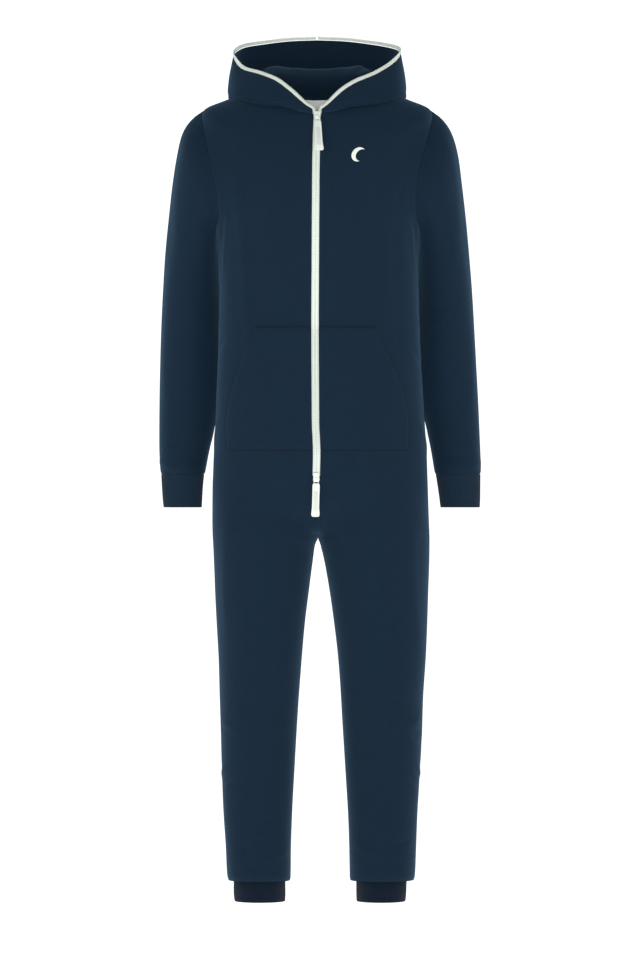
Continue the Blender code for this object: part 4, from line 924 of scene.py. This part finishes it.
def arm(side, word):
    """One sleeve: its form with its relief, the inner side resting on the trunk below the armpit as
    a bell of the height, and a first ring tucked under the armhole."""
    middle = (SLEEVE["out_z"] + SLEEVE["in_z"]) / 2
    even = evenly(middle, 0.3, SLEEVE_END - 0.06, FINE_GRID)
    row = np.concatenate([[0, 0.05, 0.12, 0.2], even, [SLEEVE_END - 0.03, SLEEVE_END]])[:, None]
    turn = np.linspace(0, 2 * math.pi, SLEEVE_ROUND, endpoint=False)[None, :]
    out = outward(sleeve, row, turn, side, flip=-1)
    face = sleeve(row, turn, side) + sleeve_relief(row, turn, side)[..., None] * out
    rest = np.exp(-(((face[..., 2] - REST_Z) / REST_REACH) ** 2)) * np.clip(-np.cos(turn), 0, 1) ** 2
    face = face - np.array([side * ARMPIT_REST, 0, 0]) * rest[..., None]
    high = np.clip((face[:1, :, 2] - TUCK_FROM) / TUCK_OVER, 0, 1)[..., None]
    inwards = high * unit(face[:1] - face[3:4]) + (1 - high) * np.array([-REST_TUCK * side, 0, 0])
    tucked = face[:1] + TUCK * inwards - TUCK_DOWN * TUCK * high * out[:1]
    lower_end = np.clip(1 - (SLEEVE_END - row) / 0.10, 0, 1) ** 2
    face = np.concatenate([tucked, face - SLEEVE_DIP * lower_end[..., None] * out])
    out = np.concatenate([out[:1], out])
    obj = shell(f"cloth_sleeve_{word}", face, face - CLOTH * out, ring=True)
    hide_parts(f"sleeve_{word}")
    return obj


def cuff(name, node, table, side, word, ribs):
    """A rib cuff: the part's ovals, smoothed down its length, with its ribs as rounded waves (the
    size of a sine), a rounded folded hem and a seam turned in at its top."""
    turn = np.linspace(0, 2 * math.pi, ribs * RIB_POINTS, endpoint=False)[None, :]
    at = np.array(CUFF_ROWS)[:, None]
    ring = {key: smooth(values, at) for key, values in table.items()}
    outer, inner = side * ring["out_" + word], side * ring["in_" + word]
    swing = np.sin(turn)
    x = (outer + inner) / 2 + (outer - inner) / 2 * np.cos(turn)
    y = -np.where(swing > 0, ring["front"], ring["back"]) * swing
    face = np.stack(np.broadcast_arrays(x, y, ring["z"]), -1)
    away = unit((face - face.mean(axis=1, keepdims=True)) * np.array([1, 1, 0]))
    wave = RIB_HIGH * (np.abs(np.sin(turn * ribs / 2)) - RIB_MEAN)
    hem = -CUFF_HEM * np.clip((at - 2.8) / 0.2, 0, 1) ** 2 - CUFF_SEAM * np.clip(1 - at / 0.2, 0, 1) ** 2
    soft = CUFF_SOFT * np.sin(3 * turn + 1.1) * np.sin(at * 1.1)
    outer_face = face + (wave + hem + soft)[..., None] * away
    inner_face = face + (soft - RIB - 0.5 * wave - hem * 0.8)[..., None] * away
    under = np.array([0, 0, CUFF_UNDER]) - TUCK * away[:1]
    outer_face = np.concatenate([outer_face[:1] + under, outer_face])
    inner_face = np.concatenate([inner_face[:1] + under, inner_face])
    obj = shell(name, outer_face, inner_face, ring=True)
    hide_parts(node)
    return obj


def hood_face(rib, step, side):
    """The hood's finished outer face and its normals; its folds are calm at the zip, at the neck
    seam and at the rim, and over the nape it is hollow and then full, each as a bell of the step."""
    face = hood(rib, step, side)
    out = outward(hood, rib, step, side)
    centre = np.clip((rib - HOOD_RIBS + 0.02) / 0.02, 0, 1)[..., None]
    out = unit(out * (1 - centre * np.array([1, 0, 0])))
    relief = folds(HOOD_FOLDS[side], rib, step, HOOD_PER_RIB, HOOD_PER_STEP)
    relief += unevenness(rib * HOOD_PER_RIB + 0.2 * side, step * HOOD_PER_STEP)
    beside_zip, beside_neck, beside_rim = HOOD_CALM
    calm = np.clip(rib / beside_zip, 0, 1) * np.clip(step / beside_neck, 0, 1)
    calm = calm * np.clip((1 - step) / beside_rim, 0, 1)
    behind = np.clip((rib - NAPE_RIB) / NAPE_RIBS, 0, 1)
    hollow = -NAPE_HOLLOW * np.exp(-(((step - HOLLOW_STEP) / HOLLOW_WIDE) ** 2))
    roll = NAPE_ROLL * np.exp(-(((step - ROLL_STEP) / ROLL_WIDE) ** 2))
    return face + (relief * calm + (hollow + roll) * behind)[..., None] * out, out


def hood_half(side, word):
    """Half of the hood as one wall from the neck seam to the zipped rim, with its edges turned in
    at the rim and at the centre seam."""
    close = HOOD_RIBS - np.array([0.13, 0.08, 0.045, 0.02, 0])
    rib = np.concatenate([np.linspace(0, HOOD_RIBS - 0.2, 96), close])[:, None]
    step = np.concatenate([[0, 0.012], np.linspace(0.03, 0.972, 84), [0.982, 0.991, 1]])[None, :]
    face, out = hood_face(rib, step, side)
    to_rim, to_seam = (1 - step) * widths(face), (HOOD_RIBS - rib) * RIB_APART + 0 * step
    lower = edge_turn(to_rim, *RIM_TURN) + stitched(to_rim) + edge_turn(to_seam, *CENTRE_TURN)
    face = face + lower[..., None] * out
    inner = face + (edge_turn(to_seam, *CENTRE_BACK) - CLOTH)[..., None] * out
    face[-1, :, 0] = inner[-1, :, 0] = -side * 0.0001
    obj = shell(f"cloth_hood_{word}", face, inner)
    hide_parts(f"hood_{word}")
    return obj


# ---------------------------------------------------------------- the zip
def eased(line):
    """A line of points or directions averaged over five neighbours, all but its three end ones."""
    padded = np.concatenate([line[:1], line[:1], line, line[-1:], line[-1:]])
    weights = np.array([1, 2, 3, 2, 1]) / 9
    mean = np.stack([np.convolve(padded[:, i], weights, "valid") for i in range(3)], -1)
    return np.concatenate([line[:3], mean[3:-3], line[-3:]])


def zip_line(side):
    """One half of the zip's path, up the front's edge and round the hood's: points, the directions
    across towards the teeth, out of the cloth and along, each point's number from where the hood
    starts, and how much of the zip shows."""
    row = evenly(RINGS["front_z"], 0, ZIP_FOOT, 0.004)[::-1][:, None]
    on_front, front_out = front_face(row, zip_gap(row, side), side)
    rib = np.linspace(0.12, HOOD_RIBS, 150)[:, None]
    on_hood, hood_out = hood_face(rib, np.ones_like(rib), side)
    line = eased(np.concatenate([on_front[:, 0], on_hood[:, 0]]))
    out = eased(np.concatenate([front_out[:, 0], hood_out[:, 0]]))
    run = unit(np.gradient(line, axis=0))
    out = unit(out - run * (out * run).sum(-1, keepdims=True))
    across = side * np.cross(out, run)
    place = np.arange(len(line)) - len(row)
    rib = np.concatenate([np.zeros(len(row)), rib[:, 0]])
    lean = (RIM_LEAN * np.clip((rib - LEAN_RIB) / LEAN_RIBS, 0, 1))[:, None]
    across, out = np.cos(lean) * across + np.sin(lean) * out, np.cos(lean) * out - np.sin(lean) * across
    wider = np.exp(-(((rib - WIDER_RIB) / WIDER_RIB) ** 2)) * np.clip(rib / 1.5, 0, 1)
    return line, across, out, run, place, (ZIP_SHOWN + RIM_WIDER * wider)[:, None]


def tape_under(place):
    """How deep the tape lies under the cloth's face: the cloth's own thickness on the front, easing
    to the shallow set of the rim over a short way."""
    return np.interp(place, [-4, 10], [CLOTH + SEAM, RIM_UNDER])


def woven_tape(word, line, across, out, place, shown):
    """A tape as a woven strip with a cord along its edge: one outline of places across and under,
    carried along the zip's path."""
    under = tape_under(place)[:, None]
    hidden = np.interp(place, [-6, -3], [-ZIP_UNDER, TAPE_HIDDEN])[:, None]
    edge, middle = shown - CORD_FROM, under + TAPE / 2
    profile = [
        (hidden, under),
        (hidden * 0.5 + 0.0010, under - 0.0001),
        (edge - 0.0012, under - 0.0001),
        (edge - 0.0002, middle - 0.0007),
        (edge + 0.0008, middle - 0.0006),
        (edge + 0.0011, middle),
        (edge + 0.0008, middle + 0.0006),
        (edge - 0.0002, middle + 0.0007),
        (edge - 0.0012, under + TAPE),
        (hidden, under + TAPE),
    ]
    tape = swept(f"woven_tape_{word}", np.stack([line + u * across - v * out for u, v in profile], axis=1))
    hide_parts(f"zip_tape_{word}")
    return tape


def tapes_and_teeth():
    """Both tapes, and every tooth as a small moulded block with a rounded head, the right side's
    half a pitch further on than the left side's."""
    made = []
    for side, word in SIDES:
        line, across, out, run, place, shown = zip_line(side)
        line[-1, 0] = side * TAPE_GAP
        across[-1] = unit(across[-1] * np.array([0, 1, 1]))
        tape = woven_tape(word, line, across, out, place, shown)
        depth = tape_under(place)[:, None] + TAPE / 2
        base = line + (shown - TOOTH_SET) * across - depth * out
        centres, *ways = resampled(base, TOOTH_PITCH, across, out, run)
        if side == RIGHT:
            centres = (centres[:-1] + centres[1:]) / 2
            ways = [way[:-1] for way in ways]
        teeth = scattered(f"teeth_{word}", *tooth(), centres, *map(unit, ways), sharp=50)
        made.append((tape, teeth))
    return made


def tooth():
    """One tooth in its own frame, as across towards the other side, out and along the zip: a block
    whose body tapers to a neck and ends in a wider rounded head, with its top edges cut."""
    outline = np.array([
        (-TOOTH_REACH, 0.62), (-TOOTH_REACH + 0.0004, 0.78), (-0.0013, 0.72), (-0.0007, 0.62),
        (-0.0001, 0.66), (TOOTH_OVER * 0.5, 0.86), (TOOTH_OVER, 0.55),
    ])
    outline[:, 1] *= TOOTH_LONG / 2 * TOOTH_SPREAD
    flat = np.concatenate([outline, outline[::-1] * [1, -1]])
    middle = np.array([-TOOTH_REACH / 2, 0])
    cut = TOOTH_HIGH * TOOTH_CUT_AT
    levels = ((-TOOTH_HIGH, TOOTH_CUT), (-cut, 1.0), (cut, 1.0), (TOOTH_HIGH, TOOTH_CUT))
    rings = [np.insert(middle + (flat - middle) * shrink, 1, height, axis=1) for height, shrink in levels]
    corners = len(flat)
    index, faces = grid_faces(len(rings), corners, ring=True)
    near = np.arange(corners // 2 - 1)
    far = corners - 1 - near
    strip = np.concatenate([np.stack([near, near + 1, far - 1], -1), np.stack([near, far - 1, far], -1)])
    points = np.concatenate(rings)
    return points, outwards(points, np.concatenate([faces[:, ::-1], strip[:, ::-1], strip + index[-1, 0]]))


def zip_topstitch():
    """The stitching on both fronts and round the hood, as lines a little in from the zip. On the
    hood the step is the one whose length from the rim comes nearest, averaged over nine ribs."""
    lines = []
    for side, _ in SIDES:
        row = evenly(RINGS["front_z"], 0.6, ZIP_FOOT + 0.2, 0.006)[:, None]
        mid = smooth(RINGS["mid"], row)
        turn = turn_at(np.minimum(row, ZIP_FOOT + 1), mid + side * (ZIP_SHOWN + TOPSTITCH_IN), side)
        over = np.where((row >= POCKET_TOP) & (row <= POCKET_FOOT), SEAM + CLOTH + POCKET_OFF, 0)
        lines.append(raised(*front_face(row, np.abs(turn), side), over - STITCH_PULL))
        rib = np.linspace(0.5, HOOD_RIBS - 0.04, 150)[:, None]
        around = np.linspace(0.9, 1, 21)
        face, _ = hood_face(rib, around[None, :], side)
        reach = np.linalg.norm(np.diff(face[:, ::-1], axis=1), axis=-1).cumsum(axis=1)
        nearest = np.abs(reach - TOPSTITCH_IN).argmin(axis=1) + 1
        step = np.convolve(np.pad(around[len(around) - 1 - nearest], 4, "edge"), np.ones(9) / 9, "valid")
        lines.append(raised(*hood_face(rib, step[:, None], side), -STITCH_PULL))
    return lines


def stitching(name, lines, pitch, size):
    """Topstitches, and the near-black bars of painted shadow round the pockets, along lines on the cloth, as
    one mesh of low rounded bars end to end.
    """
    found = [resampled(path, pitch, out, np.gradient(path, axis=0)) for path, out in lines]
    where, normal, run = (np.concatenate(parts) for parts in zip(*found))
    run, normal = unit(run), unit(normal)
    shape, faces = rounded_bar(*size)
    return scattered(name, shape, faces, where, unit(np.cross(normal, run)), normal, run, sharp=80)


# ---------------------------------------------------------------- sliders, pulls, label, motif
def plate(name, outline, low, high, axes, origin, bevel, hole=None):
    """A flat outline given depth along its third axis, with rounded edges; a hole is a second loop of
    as many corners, joined to the first."""
    across, up, depth = axes
    loops = [np.array(loop, float) for loop in (outline, hole) if loop is not None]
    flat = np.concatenate([origin + loop[:, :1] * across + loop[:, 1:] * up for loop in loops])
    points = np.concatenate([flat + low * depth, flat + high * depth])
    count = len(outline)
    lift = len(loops) * count
    a = np.arange(count)
    b = np.roll(a, -1)
    wall = np.stack([a, b, b + lift, a + lift], -1)
    faces = wall.tolist()
    if hole is None:
        faces += [a[::-1].tolist(), (a + lift).tolist()]
    else:
        rim = np.stack([a, b, b + count, a + count], -1)
        faces += (wall[:, ::-1] + count).tolist() + rim[:, ::-1].tolist() + (rim + lift).tolist()
    mesh = bpy.data.meshes.new(name)
    mesh.from_pydata(points.tolist(), [], faces)
    mesh.validate()
    mesh.shade_smooth()
    obj = linked(name, mesh)
    rounded = obj.modifiers.new("rounded", "BEVEL")
    rounded.width, rounded.segments, rounded.harden_normals = bevel, 2, False
    rounded.limit_method, rounded.angle_limit = "ANGLE", math.radians(32)
    return obj


def rounded_outline(corners, radius, arc=5):
    """An outline with each corner replaced by points on a curve that starts and ends a radius from it."""
    corners = np.array(corners, float)
    before = unit(np.roll(corners, 1, axis=0) - corners)
    after = unit(np.roll(corners, -1, axis=0) - corners)
    part = np.linspace(0, 1, arc)[None, :, None]
    a, b, c = (corners + radius * before)[:, None], corners[:, None], (corners + radius * after)[:, None]
    return ((1 - part) ** 2 * a + 2 * part * (1 - part) * b + part**2 * c).reshape(-1, 2)


def oblong(top_half, top, foot_half, foot):
    """Four corners of an upright oblong that may be wider at its foot."""
    return [(-top_half, top), (top_half, top), (foot_half, foot), (-foot_half, foot)]


def upwards(way):
    """A direction turned so that it points up."""
    return way * math.copysign(1, way[2])


def slider_frame(word):
    """Where a slider stands on the zip and its directions across, up and out, then its pull's hinge
    and the pull's own directions, as on the part."""
    row, lean, tip, stand, lift = SLIDERS[word]
    lean, tip, stand = np.radians([lean, tip, stand])
    out, across = np.array([0, -math.cos(tip), math.sin(tip)]), np.array([1.0, 0, 0])
    base = body(np.array(row), np.array(0.0), LEFT) - out * (CLOTH - CHAIN_PROUD - lift)
    pull_across = np.array([math.cos(lean), 0, math.sin(lean)])
    level = np.array([0, -math.cos(stand), math.sin(stand)])
    level = unit(level - pull_across * (level @ pull_across))
    pull_axes = (pull_across, upwards(np.cross(level, pull_across)), level)
    return base, (across, upwards(np.cross(out, across)), out), base + out * (SLIDER_DEEP + PIVOT), pull_axes


def slider_shield(word, base, axes):
    """A slider's shield: six corners, wide at the end where the zip comes apart and narrow at its
    nose, standing a little above its hinge. The lower slider's is upside down."""
    half, wide, nose = SLIDER_LONG / 2, SLIDER_WIDE / 2, SLIDER_NOSE / 2
    outline = np.array([(-wide, half - 0.0012), (wide, half - 0.0012), (nose * 1.1, CHIN - half),
                        (nose * 0.6, -half), (-nose * 0.6, -half), (-nose * 1.1, CHIN - half)])
    if word == "lower":
        outline = outline[::-1] * [1, -1]
    outline = rounded_outline(outline, SHIELD_ROUND)
    origin = base + PLATE_UP * axes[1]
    return plate(f"slider_plate_{word}", outline, 0.0, SLIDER_DEEP, axes, origin, SHIELD_BEVEL)


def slider_bridge(word, base, axes):
    """The bridge that holds the tab: the band between two arches, x = reach * cos and
    y = rise * sin to the power 0.8."""
    across, up, out = axes
    angle = np.linspace(0, math.pi, 13)
    arch = np.stack([np.cos(angle), np.sin(angle) ** 0.8], -1)
    size = np.array([BRIDGE_REACH, BRIDGE_RISE])
    band = np.concatenate([size * arch, ((size - BRIDGE_THICK) * arch)[::-1]]) - [0, BRIDGE_SUNK]
    return plate(f"slider_bridge_{word}", band, -BRIDGE_HALF, BRIDGE_HALF, (up, out, across),
                 base + out * SLIDER_DEEP, BRIDGE_BEVEL)


def pull(word, pivot, axes):
    """A slider's tab with its eye, the moulded puller that waists between its ends, and the plain
    patch on the puller's face."""
    half = TAB_WIDE / 2
    outline = rounded_outline(oblong(half * 0.92, 0.0010, half, -TAB_LONG), TAB_ROUND)
    eye = rounded_outline(oblong(SLOT_HALF, SLOT_TOP, SLOT_HALF, SLOT_FOOT), EYE_ROUND)
    tab = plate(f"tab_{word}", outline, -TAB_DEEP / 2, TAB_DEEP / 2, axes, pivot, TAB_BEVEL, eye)
    wide, end, top, foot = PULLER_WIDE / 2, PULLER_END / 2, -PULLER_TOP, -PULLER_TOP - PULLER_LONG
    flank = np.array([
        (wide * 0.86, top), (wide, top - 0.0030), (wide * 0.97, top - 0.02), (wide, foot + 0.016),
        (end * 0.97, foot + 0.0065), (end, foot + 0.0035), (end * 0.78, foot),
    ])
    outline = rounded_outline(np.concatenate([flank, flank[::-1] * [-1, 1]]), PULLER_ROUND, 4)
    puller = plate(f"pull_{word}", outline, -PULLER_DEEP / 2, PULLER_DEEP / 2, axes, pivot, PULLER_BEVEL)
    half, face = wide * PATCH_SHARE, PULLER_DEEP / 2
    outline = rounded_outline(oblong(half, top - PATCH_DOWN, half * 1.06, foot + PATCH_UP), PATCH_ROUND, 6)
    patch = plate(f"patch_{word}", outline, face - PATCH_SUNK, face + PATCH_PROUD, axes, pivot, PATCH_BEVEL)
    return tab, puller, patch


def sliders():
    """Each slider's shield and bridge, its ringed tab and its moulded puller with a plain patch."""
    made = {}
    for word in SLIDERS:
        base, axes, pivot, pull_axes = slider_frame(word)
        shield, bridge = slider_shield(word, base, axes), slider_bridge(word, base, axes)
        pull_tab, puller, patch = pull(word, pivot, pull_axes)
        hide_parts(f"slider_{word}")
        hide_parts(f"pull_tab_{word}")
        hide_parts(f"puller_{word}")
        made[word] = ((shield, bridge), (pull_tab, puller, patch))
    return made


def neck_label():
    """The plain label in the back of the neck, bowed a little off the cloth."""
    row = np.linspace(LABEL_TOP, LABEL_FOOT, 14)[:, None]
    place = np.linspace(-LABEL_WIDE / 2, LABEL_WIDE / 2, 26)[None, :]
    turn = math.pi - np.arcsin(place / smooth(RINGS["left"], row))
    face = body(row, turn, LEFT)
    out = outward(body, row, turn, LEFT)
    bow = LABEL_BOW * np.clip((row - LABEL_TOP) / 0.5, 0, 1) * np.cos(place / LABEL_WIDE * math.pi)
    near = face - (CLOTH + LABEL_OFF + bow)[..., None] * out + np.array([0, 0, LABEL_RAISED])
    obj = shell("woven_label", near, near - LABEL_DEEP * out)
    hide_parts("neck_label")
    return obj


def arc(radius, reach, count=60):
    """Points round a circle from an angle to the same angle short of the whole round."""
    angle = np.linspace(reach, 2 * math.pi - reach, count)
    return radius * np.stack([np.cos(angle), np.sin(angle)], -1)


def moon():
    """A small plain crescent embroidered on the chest: between an outer circle and a smaller one
    set to its side, which meet at its tips, domed across its width. It is laid on the cloth by how
    far a small step of the row and of the turn moves a point there."""
    rows = np.linspace(0, 8, 400)
    row = np.interp(-MOON_Z, -body(rows, np.full(400, 0.38), LEFT)[:, 2], rows)
    turn = turn_at(row, MOON_X, LEFT)
    small = 1e-3
    here = body(row, turn, LEFT)
    per_row = np.linalg.norm(body(row + small, turn, LEFT) - here) / small
    per_turn = np.linalg.norm(body(row, turn + small, LEFT) - here) / small
    reach = math.acos((MOON_RADIUS**2 + MOON_SHIFT**2 - MOON_CUT**2) / (2 * MOON_RADIUS * MOON_SHIFT))
    start = math.atan2(MOON_RADIUS * math.sin(reach), MOON_RADIUS * math.cos(reach) - MOON_SHIFT)
    share = np.linspace(0, 1, 9)[None, :, None]
    outer, inner = arc(MOON_RADIUS, reach)[:, None], (arc(MOON_CUT, start) + [MOON_SHIFT, 0])[:, None]
    flat = outer * (1 - share) + inner * share
    u = flat[..., 0] * math.cos(MOON_TILT) - flat[..., 1] * math.sin(MOON_TILT)
    v = flat[..., 0] * math.sin(MOON_TILT) + flat[..., 1] * math.cos(MOON_TILT)
    face, out = front_face(row - v / per_row, turn + u / per_turn, LEFT)
    thread = 1 + MOON_THREADS * np.sin(np.linspace(0, 60 * math.pi, 60))[:, None]
    dome = MOON_HIGH * np.sin(math.pi * np.clip(share[..., 0], 0.02, 0.98)) ** 0.6 * thread
    return shell("crescent", face + dome[..., None] * out, face - MOON_SUNK * out)


# ---------------------------------------------------------------- materials
def principled(name, colour, roughness, sheen=0.0, tint=(1, 1, 1), specular=0.5):
    """A material with a Principled shader and its plain values set on the shader's own sockets."""
    made = bpy.data.materials.new(name)
    made.use_nodes = True
    shader = made.node_tree.nodes["Principled BSDF"]
    plain = {
        "Base Color": (*colour, 1), "Roughness": roughness, "Specular IOR Level": specular,
        "Sheen Weight": sheen, "Sheen Roughness": 0.45, "Sheen Tint": (*tint, 1),
    }
    for socket, value in plain.items():
        shader.inputs[socket].default_value = value
    made.diffuse_color = (*colour, 1)
    return made, shader


def node(tree, kind, sockets=(), **settings):
    """A shader node with its properties and its input sockets set, each socket by a number, a
    colour or a link from another node's output."""
    made = tree.nodes.new(kind)
    for name, value in settings.items():
        setattr(made, name, value)
    for socket, value in sockets:
        if isinstance(value, bpy.types.NodeSocket):
            tree.links.new(value, made.inputs[socket])
        else:
            made.inputs[socket].default_value = value
    return made


def maths(tree, what, *values):
    """A Math node over its inputs, each a socket or a number."""
    return node(tree, "ShaderNodeMath", enumerate(values), operation=what).outputs[0]


def noise(tree, scale, detail, vector):
    """Noise at so many grains for each metre."""
    made = node(tree, "ShaderNodeTexNoise", [("Scale", scale), ("Detail", detail), ("Vector", vector)])
    return made.outputs["Fac"]


def mottled(tree, shader, colour, scale, amount, vector):
    """The base colour varied lighter and darker by noise."""
    darker, lighter = ((*(part * share for part in colour), 1) for share in (1 - amount, 1 + amount))
    sockets = [("Factor", noise(tree, scale, 3.0, vector)), ("A", darker), ("B", lighter)]
    mix = node(tree, "ShaderNodeMix", sockets, data_type="RGBA")
    tree.links.new(mix.outputs["Result"], shader.inputs["Base Color"])


def bump(tree, shader, height, strength, distance):
    """A height as a bump on the shader."""
    made = node(tree, "ShaderNodeBump", [("Strength", strength), ("Distance", distance), ("Height", height)])
    tree.links.new(made.outputs["Normal"], shader.inputs["Normal"])


def jersey():
    """Brushed sweat-cloth: fine columns of knit from the UV lengths, with a nap of noise. A column's
    height is sin(pi * across) * (0.7 + 0.3 * sin(2 pi * loop)), where each loop leans in to its
    column's middle."""
    made, shader = principled("sweat_cloth_look", NAVY, 0.92, sheen=0.18, tint=NAP_TINT, specular=0.10)
    tree = made.node_tree
    place = node(tree, "ShaderNodeTexCoord")
    mottled(tree, shader, NAVY, 260.0, 0.22, place.outputs["Object"])
    parts = node(tree, "ShaderNodeSeparateXYZ", [(0, place.outputs["UV"])])
    across = maths(tree, "FRACT", maths(tree, "DIVIDE", parts.outputs["X"], WALE))
    slope = maths(tree, "ABSOLUTE", maths(tree, "SUBTRACT", across, 0.5))
    loop = maths(tree, "ADD", maths(tree, "DIVIDE", parts.outputs["Y"], COURSE), slope)
    column = maths(tree, "SINE", maths(tree, "MULTIPLY", across, math.pi))
    wave = maths(tree, "SINE", maths(tree, "MULTIPLY", loop, 2 * math.pi))
    knit = maths(tree, "MULTIPLY", column, maths(tree, "ADD", maths(tree, "MULTIPLY", wave, 0.3), 0.7))
    nap = noise(tree, 900.0, 2.0, place.outputs["Object"])
    bump(tree, shader, maths(tree, "ADD", maths(tree, "MULTIPLY", knit, 0.6), nap), 0.35, 0.0004)
    return made


def noisy(name, colour, roughness, scale, strength, distance, sheen, specular, amount):
    """A plain material with a fine noise bump and a slight mottle."""
    made, shader = principled(name, colour, roughness, sheen=sheen, specular=specular)
    tree = made.node_tree
    place = node(tree, "ShaderNodeTexCoord").outputs["Object"]
    mottled(tree, shader, colour, scale / 3, amount, place)
    bump(tree, shader, noise(tree, scale, 2.0, place), strength, distance)
    return made


# ---------------------------------------------------------------- stage
def stage():
    """A plain white surround that only the camera sees, a pale floor, an even weak sky, and soft
    lamps in front and at both sides that the camera doesn't see. A lamp's tilt and heading are the
    two angles of the way to what it looks at."""
    scene = bpy.context.scene
    scene.world = bpy.data.worlds.new("sky")
    scene.world.use_nodes = True
    sky = scene.world.node_tree.nodes["Background"].inputs
    sky["Color"].default_value, sky["Strength"].default_value = (1, 1, 1, 1), SKY
    bpy.ops.mesh.primitive_uv_sphere_add(segments=48, ring_count=24, radius=16)
    dome = bpy.context.object
    dome.name = "surround"
    floor = linked("floor", bpy.data.meshes.new("floor"))
    corners = [(-4, -4, FLOOR_Z), (4, -4, FLOOR_Z), (4, 4, FLOOR_Z), (-4, 4, FLOOR_Z)]
    floor.data.from_pydata(corners, [], [(0, 1, 2, 3)])
    for obj, glow in ((dome, 1.0), (floor, FLOOR_GLOW)):
        look, shader = principled(f"{obj.name}_look", BACKDROP, 0.9, specular=0.0)
        shader.inputs["Emission Color"].default_value = (1, 1, 1, 1)
        shader.inputs["Emission Strength"].default_value = glow
        obj.data.materials.append(look)
    dome.visible_diffuse = dome.visible_glossy = dome.visible_shadow = False
    dome.visible_transmission = dome.visible_volume_scatter = False
    for name, (at, aim, wide, high, watts) in LAMPS.items():
        lamp = linked(name, bpy.data.lights.new(name, "AREA"))
        lamp.data.shape, lamp.data.size, lamp.data.size_y, lamp.data.energy = "RECTANGLE", wide, high, watts
        x, y, z = np.array(aim) - np.array(at)
        lamp.location = at
        lamp.rotation_euler = (math.atan2(z, math.hypot(x, y)) + math.pi / 2, 0, math.atan2(-x, y))
        lamp.visible_camera = False
    view = linked("camera", bpy.data.cameras.new("camera"))
    view.data.lens, view.data.sensor_width = LENS, SENSOR
    view.location, view.rotation_euler = VIEW_FROM, (math.pi / 2, 0, 0)
    scene.camera = view
    scene.view_settings.view_transform = "Standard"


# ---------------------------------------------------------------- everything in place
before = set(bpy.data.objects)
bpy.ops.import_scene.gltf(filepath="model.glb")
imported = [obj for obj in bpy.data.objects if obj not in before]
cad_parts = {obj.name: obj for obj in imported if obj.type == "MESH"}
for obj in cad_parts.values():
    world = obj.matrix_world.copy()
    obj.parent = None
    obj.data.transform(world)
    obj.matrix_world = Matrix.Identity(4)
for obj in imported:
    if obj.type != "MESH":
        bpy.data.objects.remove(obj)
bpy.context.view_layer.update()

looks = {name: noisy(f"{name}_look", *finish) for name, finish in FINISHES.items()}
looks["sweat_cloth"] = jersey()


def placed(obj, body_name, look):
    """A piece given its look and the body it rides on."""
    obj.data.materials.append(looks[look])
    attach(obj, body_name)
    return obj


panels = {"front": front, "back": back, "pocket": pocket, "sleeve": arm, "hood": hood_half}
stitch_lines, painted_shadow_paths, sheets = zip_topstitch(), [], {}
for side, word in SIDES:
    for kind, make in panels.items():
        sheets[f"{kind}_{word}"] = placed(make(side, word), "garment", "sweat_cloth")
    stitch_lines += pocket_stitching(side, word)
    painted_shadow_paths += pocket_painted_shadow(side, word)
    wrist = cuff(f"rib_cuff_{word}", f"cuff_{word}", CUFF, side, word, CUFF_RIBS)
    sheets[f"cuff_{word}"] = placed(wrist, "garment", "rib")
    ankle = cuff(f"rib_ankle_{word}", f"ankle_cuff_{word}", ANKLE, side, word, ANKLE_RIBS)
    sheets[f"ankle_{word}"] = placed(ankle, "garment", "ankle")
for tape, teeth in tapes_and_teeth():
    placed(tape, "garment", "tape")
    placed(teeth, "garment", "teeth")
for word, (fixed, (tab, puller, patch)) in sliders().items():
    for piece in fixed:
        placed(piece, "garment", "teeth")
    placed(tab, f"{word}_pull", "teeth")
    placed(puller, f"{word}_pull", "puller")
    placed(patch, f"{word}_pull", "patch")
sheets["label"] = placed(neck_label(), "garment", "label")
placed(moon(), "garment", "moon")
topstitching = stitching("topstitching", stitch_lines, STITCH_PITCH, (STITCH_LONG, STITCH_WIDE, STITCH_HIGH))
placed(topstitching, "garment", "thread")
# near-black bars round the pockets: painted shadow along their edges
placed(stitching("pocket_painted_shadow", painted_shadow_paths, SHADOW_LINE_PITCH, SHADOW_LINE_SIZE), "garment", "painted_shadow_line")

stage()
